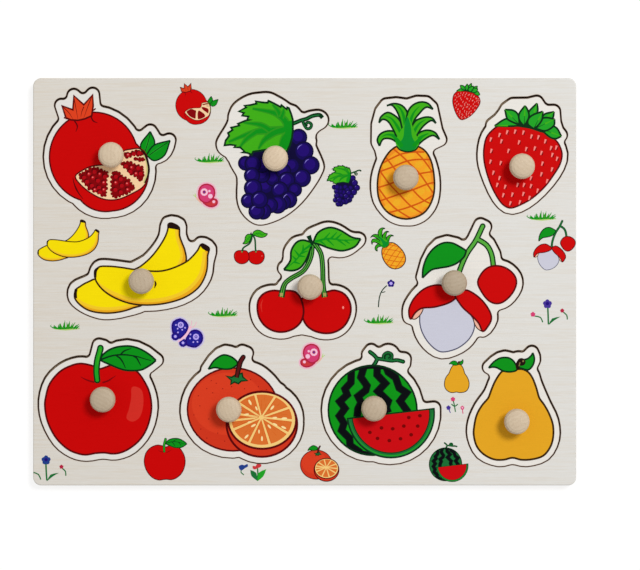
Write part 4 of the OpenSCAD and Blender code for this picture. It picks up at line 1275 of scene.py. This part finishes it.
def draw_meadow(p):
    """The flowers, tufts and butterflies between the cut-outs."""
    for foot in ((178.5, 322), (513, 265), (33, 156), (192, 169), (313, 356), (349, 162)):
        draw_grass(p, foot)
    draw_blue_butterfly(p)
    draw_pink_butterfly(p, (165.5, 283.5), 1)
    draw_pink_butterfly(p, (290, 124.5), -1)
    # A blue bloom on a bent stem above the tuft in the middle
    p.line("forest", [(356.5, 198.5), (352, 194), (349, 187), (348, 177)], 1.1)
    p.line("forest", [(355, 192.5), (351.5, 191.5)], 0.9, curved=False)
    draw_bloom(p, "indigo", (360.7, 200.6), 3.8)
    p.disc("lilac", (360.7, 200.6), 1.7)
    # The group at the right
    p.line("meadow", [(518.6, 178), (519, 169), (519.3, 160)], 1.6)
    p.leaf("meadow", [(519.3, 159), (523, 165.8), (531.6, 167.6)], [(525.2, 163.9)])
    p.line("meadow", [(505.4, 168.2), (511.2, 166.9), (513.6, 162)], 1.2)
    p.line("meadow", [(534, 172.4), (537.8, 169), (538.3, 164.8)], 1.2)
    draw_bloom(p, "purple", (518.3, 180.2), 4.5)
    draw_bloom(p, "indigo", (518.3, 180.6), 1.8)
    draw_bloom(p, "pink", (503.7, 169.9), 2.5)
    draw_bloom(p, "cerise", (533.2, 173.6), 2.1)
    # The group at the lower left
    p.line("meadow", [(12.9, 23), (13.3, 14), (13.9, 5)], 1.6)
    p.leaf("meadow", [(13.9, 4), (17.6, 10.8), (26.2, 12.6)], [(19.8, 8.9)])
    p.line("meadow", [(29, 17.4), (32.6, 14.1), (33, 9.6)], 1.2)
    p.line("meadow", [(0.4, 13), (5.4, 11), (7.8, 6)], 1.2)
    draw_bloom(p, "steel", (13.1, 25.2), 4.6)
    draw_bloom(p, "indigo", (13.1, 25.6), 1.8)
    draw_bloom(p, "cerise", (28.6, 18.6), 2.1)
    # The pair at the bottom
    p.line("meadow", [(210, 16), (209.6, 13), (212.5, 10.5)], 1.0)
    p.area("steel", [
        (207.6, 17.2), (207.4, 19.4), (210.6, 20.8), (213, 20), (215.8, 21.4), (216.6, 19), (213.6, 17.2),
        (210.8, 15.2), (209, 15.2),
    ])
    p.line("meadow", [(226, 18), (226.6, 11), (226, 5)], 1.4)
    p.leaf("meadow", [(226.2, 4.4), (220, 9.5), (219, 15.4)], [(225, 12.5)])
    p.leaf("fresh", [(226.2, 4.4), (232, 9), (235, 16.2)], [(227, 12.5)])
    p.area("poppy", [
        (221.4, 17), (221.4, 19.6), (224.2, 19), (225.6, 21.4), (229.8, 21), (229.6, 18.6), (226.4, 17.2),
        (223.6, 16),
    ])
    # The group under the small pear
    p.line("meadow", [(423.4, 84), (424.5, 80), (425.6, 73)], 1.1)
    p.line("meadow", [(421.6, 81), (424.7, 78.5), (428, 80.8)], 1.1)
    p.line("purple", [(418.8, 76), (420.6, 72)], 0.9, curved=False)
    p.line("pink", [(432.6, 76), (433.2, 71.2)], 0.9, curved=False)
    draw_bloom(p, "pink", (423.1, 85.7), 2.3)
    draw_bloom(p, "purple", (418.6, 77.2), 2.3)
    draw_bloom(p, "pink", (432.6, 77.2), 2.0)
    p.disc("blush", (432.6, 77.2), 0.9)


class Fruit(NamedTuple):
    """A fruit of the puzzle, its figure on the sketching grid and its knob."""

    draw: Callable
    width: int  # of the figure
    height: int  # of the figure
    across: float  # where the knob stands, as a share of the width
    up: float  # where the knob stands, as a share of the height
    tone: float  # how light the knob's wood is


FRUIT = {
    "pomegranate": Fruit(draw_pomegranate, 120, 116, 0.525, 0.476, 0.99),
    "grapes": Fruit(draw_grapes, 100, 120, 0.533, 0.493, 1.01),
    "pineapple": Fruit(draw_pineapple, 64, 116, 0.453, 0.353, 0.91),
    "strawberry": Fruit(draw_strawberry, 78, 105, 0.478, 0.391, 0.97),
    "bananas": Fruit(draw_bananas, 136, 90, 0.502, 0.355, 0.88),
    "cherries": Fruit(draw_cherries, 104, 105, 0.524, 0.438, 0.93),
    "lychee": Fruit(draw_lychee, 109, 128, 0.417, 0.539, 0.83),
    "apple": Fruit(draw_apple, 113, 110, 0.53, 0.51, 0.87),
    "orange": Fruit(draw_orange, 111, 104, 0.386, 0.455, 0.96),
    "watermelon": Fruit(draw_watermelon, 107, 107, 0.433, 0.47, 0.88),
    "pear": Fruit(draw_pear, 81, 107, 0.53, 0.369, 0.97),
}

# Small copies on the board: the fruit, its lower left corner, how much smaller it is drawn and how
# many degrees it leans over
SMALL = (
    ("pomegranate", (144, 358.5), 0.352, 0),
    ("strawberry", (422.8, 362.8), 0.352, 0),
    ("grapes", (295.6, 277), 0.348, 0),
    ("bananas", (4.9, 222.8), 0.456, 0),
    ("cherries", (202.2, 219.6), 0.324, 0),
    ("lychee", (504, 213.7), 0.39, 0),
    ("apple", (112, 5.2), 0.384, 0),
    ("orange", (269.2, 4.4), 0.351, 0),
    ("watermelon", (399, 3.5), 0.367, 0),
    ("pear", (414.2, 92.1), 0.31, 0),
    ("pineapple", (362.653, 210.341), 0.37, 37),
)


# Films of ink


def clean_ring(ring):
    """The points of a ring, counterclockwise and without repeats, or none if it has no inside."""
    loop = []
    for spot in ring:
        if not loop or math.dist(spot, loop[-1]) > WELD:
            loop.append(spot)
    if len(loop) > 2 and math.dist(loop[0], loop[-1]) <= WELD:
        loop.pop()
    turned = sum(a[0] * b[1] - b[0] * a[1] for a, b in zip(loop, loop[1:] + loop[:1]))
    if len(loop) < 3 or abs(turned) < SLIVER:
        return []
    return loop if turned > 0 else loop[::-1]


def flat_cells(shapes):
    """Cuts overlapping shapes into triangles and gives each the ink that lies on top of it."""
    points, faces, owners = [], [], []
    for number, (_, rings, _) in enumerate(shapes):
        for ring in rings:
            loop = clean_ring(ring)
            if loop:
                faces.append(list(range(len(points), len(points) + len(loop))))
                points.extend(loop)
                owners.append(number)
    vectors = [Vector(point) for point in points]
    inside = 1  # only the triangles that lie in a face
    corners, _, cells, _, _, sources = delaunay_2d_cdt(vectors, [], faces, inside, WELD, True)
    triangles, inks = [], []
    for cell, source in zip(cells, sources):
        covering = {owners[k] for k in source}
        for number in sorted(covering, reverse=True):
            ink, _, within = shapes[number]
            if within is None or within in covering:
                if ink:
                    triangles.append(tuple(cell))
                    inks.append(ink)
                break
    return corners, triangles, inks


def film(name, pictures, level, body):
    """Closed film of ink on the wood. Each picture comes with its origin, its scale and its lean."""
    sizes = bpy.context.scene.puzzle_sizes
    vertices, faces, owners, inks = [], [], [], []
    for picture, origin, scale, lean in pictures:
        corners, triangles, colors = flat_cells(picture.shapes)
        turn = Vector((math.cos(math.radians(lean)), math.sin(math.radians(lean))))
        placed = []
        for corner in corners:
            x, y = corner.x * sizes.grid_x * scale, corner.y * sizes.grid_y * scale
            placed.append((origin.x + x * turn.x - y * turn.y, origin.y + x * turn.y + y * turn.x))
        used = sorted({corner for triangle in triangles for corner in triangle})
        top = {corner: len(vertices) + i for i, corner in enumerate(used)}
        low = {corner: len(vertices) + len(used) + i for i, corner in enumerate(used)}
        vertices += [(*placed[corner], level + sizes.proud) for corner in used]
        vertices += [(*placed[corner], level - sizes.sunk) for corner in used]
        borders = {}
        for triangle, ink in zip(triangles, colors):
            if ink not in inks:
                inks.append(ink)
            faces.append([top[c] for c in triangle])
            faces.append([low[c] for c in reversed(triangle)])
            owners += [inks.index(ink)] * 2
            for a, b in zip(triangle, triangle[1:] + triangle[:1]):
                if (b, a) in borders:
                    del borders[(b, a)]
                else:
                    borders[(a, b)] = inks.index(ink)
        for (a, b), owner in borders.items():
            faces.append([top[b], top[a], low[a], low[b]])
            owners.append(owner)
    mesh = bpy.data.meshes.new(name)
    mesh.from_pydata(vertices, [], faces)
    for ink in inks:
        mesh.materials.append(ink_finish(ink))
    mesh.polygons.foreach_set("material_index", owners)
    mesh.validate()
    mesh.update()
    piece = bpy.data.objects.new(name, mesh)
    bpy.context.scene.collection.objects.link(piece)
    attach(piece, body)


def cut_lines(node, corner):
    """Outlines of a node's flat top in grid units from a corner, the widest first."""
    sizes = bpy.context.scene.puzzle_sizes
    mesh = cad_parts[node].data
    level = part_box(node)[1].z
    edges = set()
    for face in mesh.polygons:
        if face.normal.z < UPRIGHT or abs(face.center.z - level) > LEVEL_SLACK:
            continue
        ring = [tuple(round(v, 7) for v in mesh.vertices[index].co.xy) for index in face.vertices]
        for a, b in zip(ring, ring[1:] + ring[:1]):
            if (b, a) in edges:
                edges.remove((b, a))
            else:
                edges.add((a, b))
    follow = dict(edges)
    loops = []
    while follow:
        here = min(follow)
        loop = []
        while here in follow:
            spot = ((here[0] - corner.x) / sizes.grid_x, (here[1] - corner.y) / sizes.grid_y)
            if not loop or math.dist(spot, loop[-1]) > STRIDE < math.dist(spot, loop[0]):
                loop.append(spot)
            here = follow.pop(here)
        loops.append(loop)
    return sorted(loops, key=lambda loop: min(x for x, _ in loop) - max(x for x, _ in loop))


def scorch(picture, outline, inside):
    """Lays a brown rim along a cut, on its inner or its outer side: the laser's burn, together with painted
    shade of the gap beside the cut.
    """
    sizes = bpy.context.scene.puzzle_sizes
    closed = outline + outline[:1]
    mask = picture.lay(None, [outline]) if inside else None
    for ink, width in (("singe_and_edge_shade", sizes.fade), ("scorch", sizes.rim)):
        picture.line(ink, closed, 2 * width / sizes.grid_x, curved=False, within=mask)
    if not inside:
        picture.lay(None, [outline])


# Operators


def dress(node, material, crease):
    """Gives a node of the CAD model its material and keeps its edges sharp from an angle in degrees."""
    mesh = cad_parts[node].data
    mesh.materials.clear()
    mesh.materials.append(material)
    mesh.shade_smooth()
    mesh.set_sharp_from_angle(angle=math.radians(crease))


def knob_seat(fruit):
    low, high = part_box(fruit + "_knob")
    return (low + high) / 2


class PUZZLE_OT_boards(bpy.types.Operator):
    """Finish the face board and the backing board"""

    bl_idname = "puzzle.boards"
    bl_label = "Finish the boards"

    def execute(self, context):
        wood = context.scene.puzzle_wood
        dress("face_board", printed_plywood("printed_sheet", wood.sheet, wood.sheet_warm, False), CREASE)
        dress("backing_board", plain_plywood("plain_plywood"), CREASE)
        return {"FINISHED"}


class PUZZLE_OT_fruit_pieces(bpy.types.Operator):
    """Finish the eleven fruit pieces"""

    bl_idname = "puzzle.fruit_pieces"
    bl_label = "Finish the fruit pieces"

    def execute(self, context):
        wood = context.scene.puzzle_wood
        finish = printed_plywood("piece_sheet", wood.border, wood.sheet, True)
        for name in FRUIT:
            dress(name + "_piece", finish, CREASE)
        return {"FINISHED"}


class PUZZLE_OT_knobs(bpy.types.Operator):
    """Finish the eleven turned knobs, each from its own stretch of the dowel"""

    bl_idname = "puzzle.knobs"
    bl_label = "Finish the knobs"

    def execute(self, context):
        for seed, (name, fruit) in enumerate(FRUIT.items()):
            beech = turned_beech(name + "_beech", knob_seat(name), fruit.tone, seed)
            dress(name + "_knob", beech, KNOB_CREASE)
        return {"FINISHED"}


class PUZZLE_OT_fruit_pictures(bpy.types.Operator):
    """Print the picture on each fruit piece"""

    bl_idname = "puzzle.fruit_pictures"
    bl_label = "Print the fruit pictures"

    def execute(self, context):
        sizes = context.scene.puzzle_sizes
        for name, fruit in FRUIT.items():
            seat = knob_seat(name)
            place = (fruit.across * fruit.width, fruit.up * fruit.height)
            corner = Vector((seat.x - place[0] * sizes.grid_x, seat.y - place[1] * sizes.grid_y))
            picture = Picture(sizes.curve_steps, sizes.bold)
            # Brown rim inside the piece's cut: the laser's burn, with painted shade of the gap.
            scorch(picture, cut_lines(name + "_piece", corner)[0], inside=True)
            fruit.draw(picture)
            # Bare wood under the knob
            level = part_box(name + "_piece")[1].z
            knob = [vertex.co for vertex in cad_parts[name + "_knob"].data.vertices]
            foot = max(math.dist(co.xy, seat.xy) for co in knob if abs(co.z - level) < FOOT_SLACK)
            bare = foot + sizes.collar
            picture.disc(None, place, bare / sizes.grid_x, bare / sizes.grid_y)
            film(name + "_picture", [(picture, corner, 1.0, 0.0)], level, name)
        return {"FINISHED"}


class PUZZLE_OT_board_pictures(bpy.types.Operator):
    """Print the small copies and the meadow on the board"""

    bl_idname = "puzzle.board_pictures"
    bl_label = "Print the board's pictures"

    def execute(self, context):
        sizes = context.scene.puzzle_sizes
        low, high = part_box("face_board")
        pictures = []
        for name, corner, scale, lean in SMALL:
            origin = Vector((low.x + corner[0] * sizes.grid_x, low.y + corner[1] * sizes.grid_y))
            picture = Picture(sizes.small_steps, sizes.small_bold, fine=False)
            FRUIT[name].draw(picture)
            pictures.append((picture, origin, scale, lean))
        meadow = Picture(sizes.small_steps)
        draw_meadow(meadow)
        pictures.append((meadow, low.xy, 1.0, 0.0))
        # Brown rims round the board's cut-outs: the laser's burn, with painted shade of the gaps.
        for outline in cut_lines("face_board", low)[1:]:
            rim = Picture(1)
            scorch(rim, outline, inside=False)
            pictures.append((rim, low.xy, 1.0, 0.0))
        film("board_pictures", pictures, high.z, "board")
        return {"FINISHED"}


class PUZZLE_OT_stage(bpy.types.Operator):
    """Set up the white table, the soft light and the camera above the board"""

    bl_idname = "puzzle.stage"
    bl_label = "Set up the stage"

    def execute(self, context):
        scene = context.scene
        stage = scene.puzzle_stage
        scene.view_settings.view_transform = "Standard"
        # Table
        mesh = bpy.data.meshes.new("table")
        corners = [(x * TABLE_REACH, y * TABLE_REACH, 0) for x, y in ((-1, -1), (1, -1), (1, 1), (-1, 1))]
        mesh.from_pydata(corners, [], [(0, 1, 2, 3)])
        table = bpy.data.objects.new("table", mesh)
        table.location.z = -TABLE_GAP
        scene.collection.objects.link(table)
        finish = Finish("white_table")
        share = finish.sight() * stage.glow_share
        glow = finish.node("ShaderNodeEmission", {}, {"Color": WHITE, "Strength": stage.table_glow})
        matt = finish.node("ShaderNodeBsdfDiffuse", {}, {"Color": rgba(stage.table)})
        finish.surface(finish.node("ShaderNodeMixShader", {}, {0: share, 1: matt, 2: glow}))
        mesh.materials.append(finish.material)
        # Room: even light, and plain white where it is seen
        scene.world = bpy.data.worlds.new("room")
        room = Finish("room", scene.world)
        even, seen = (
            room.node("ShaderNodeBackground", {}, {"Color": WHITE, "Strength": strength})
            for strength in (stage.room_level, 1.0)
        )
        mixed = room.node("ShaderNodeMixShader", {}, {0: room.sight(), 1: even, 2: seen})
        room.surface(mixed, "ShaderNodeOutputWorld")
        # Lamp
        lamp = bpy.data.lights.new("key", "AREA")
        lamp.shape = "SQUARE"
        lamp.size = stage.key_size
        lamp.energy = stage.key_power
        key = bpy.data.objects.new("key", lamp)
        key.location = LAMP_PLACE
        key.rotation_euler = (-key.location).to_track_quat("-Z", "Y").to_euler()
        scene.collection.objects.link(key)
        # Camera
        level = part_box("face_board")[1].z
        lens = bpy.data.cameras.new("camera")
        lens.sensor_width = SENSOR
        lens.lens = stage.pixels_per_mm / MM * SENSOR * stage.camera_height / PICTURE_WIDTH
        camera = bpy.data.objects.new("camera", lens)
        camera.location = (stage.camera_x, stage.camera_y, level + stage.camera_height)
        scene.collection.objects.link(camera)
        scene.camera = camera
        return {"FINISHED"}


OPERATORS = (
    PUZZLE_OT_boards,
    PUZZLE_OT_fruit_pieces,
    PUZZLE_OT_knobs,
    PUZZLE_OT_fruit_pictures,
    PUZZLE_OT_board_pictures,
    PUZZLE_OT_stage,
)
GROUPS = {
    "puzzle_inks": PuzzleInks,
    "puzzle_sizes": PuzzleSizes,
    "puzzle_wood": PuzzleWood,
    "puzzle_stage": PuzzleStage,
}


class PUZZLE_PT_steps(bpy.types.Panel):
    """Sidebar panel that lists the steps in their order, then the settings"""

    bl_label = "Peg puzzle"
    bl_idname = "PUZZLE_PT_steps"
    bl_space_type = "VIEW_3D"
    bl_region_type = "UI"
    bl_category = "Puzzle"

    def draw(self, context):
        for operator in OPERATORS:
            self.layout.operator(operator.bl_idname)
        for group in GROUPS:
            settings = getattr(context.scene, group)
            for name in settings.bl_rna.properties.keys():
                if name not in ("name", "rna_type"):
                    self.layout.prop(settings, name)


def register():
    for kind in (*GROUPS.values(), *OPERATORS, PUZZLE_PT_steps):
        bpy.utils.register_class(kind)
    for name, kind in GROUPS.items():
        setattr(bpy.types.Scene, name, PointerProperty(type=kind))


def unregister():
    for name in GROUPS:
        delattr(bpy.types.Scene, name)
    for kind in (PUZZLE_PT_steps, *reversed(OPERATORS), *reversed(GROUPS.values())):
        bpy.utils.unregister_class(kind)


def main():
    register()
    bpy.ops.puzzle.boards()
    bpy.ops.puzzle.fruit_pieces()
    bpy.ops.puzzle.knobs()
    bpy.ops.puzzle.fruit_pictures()
    bpy.ops.puzzle.board_pictures()
    bpy.ops.puzzle.stage()


if __name__ == "__main__":
    main()
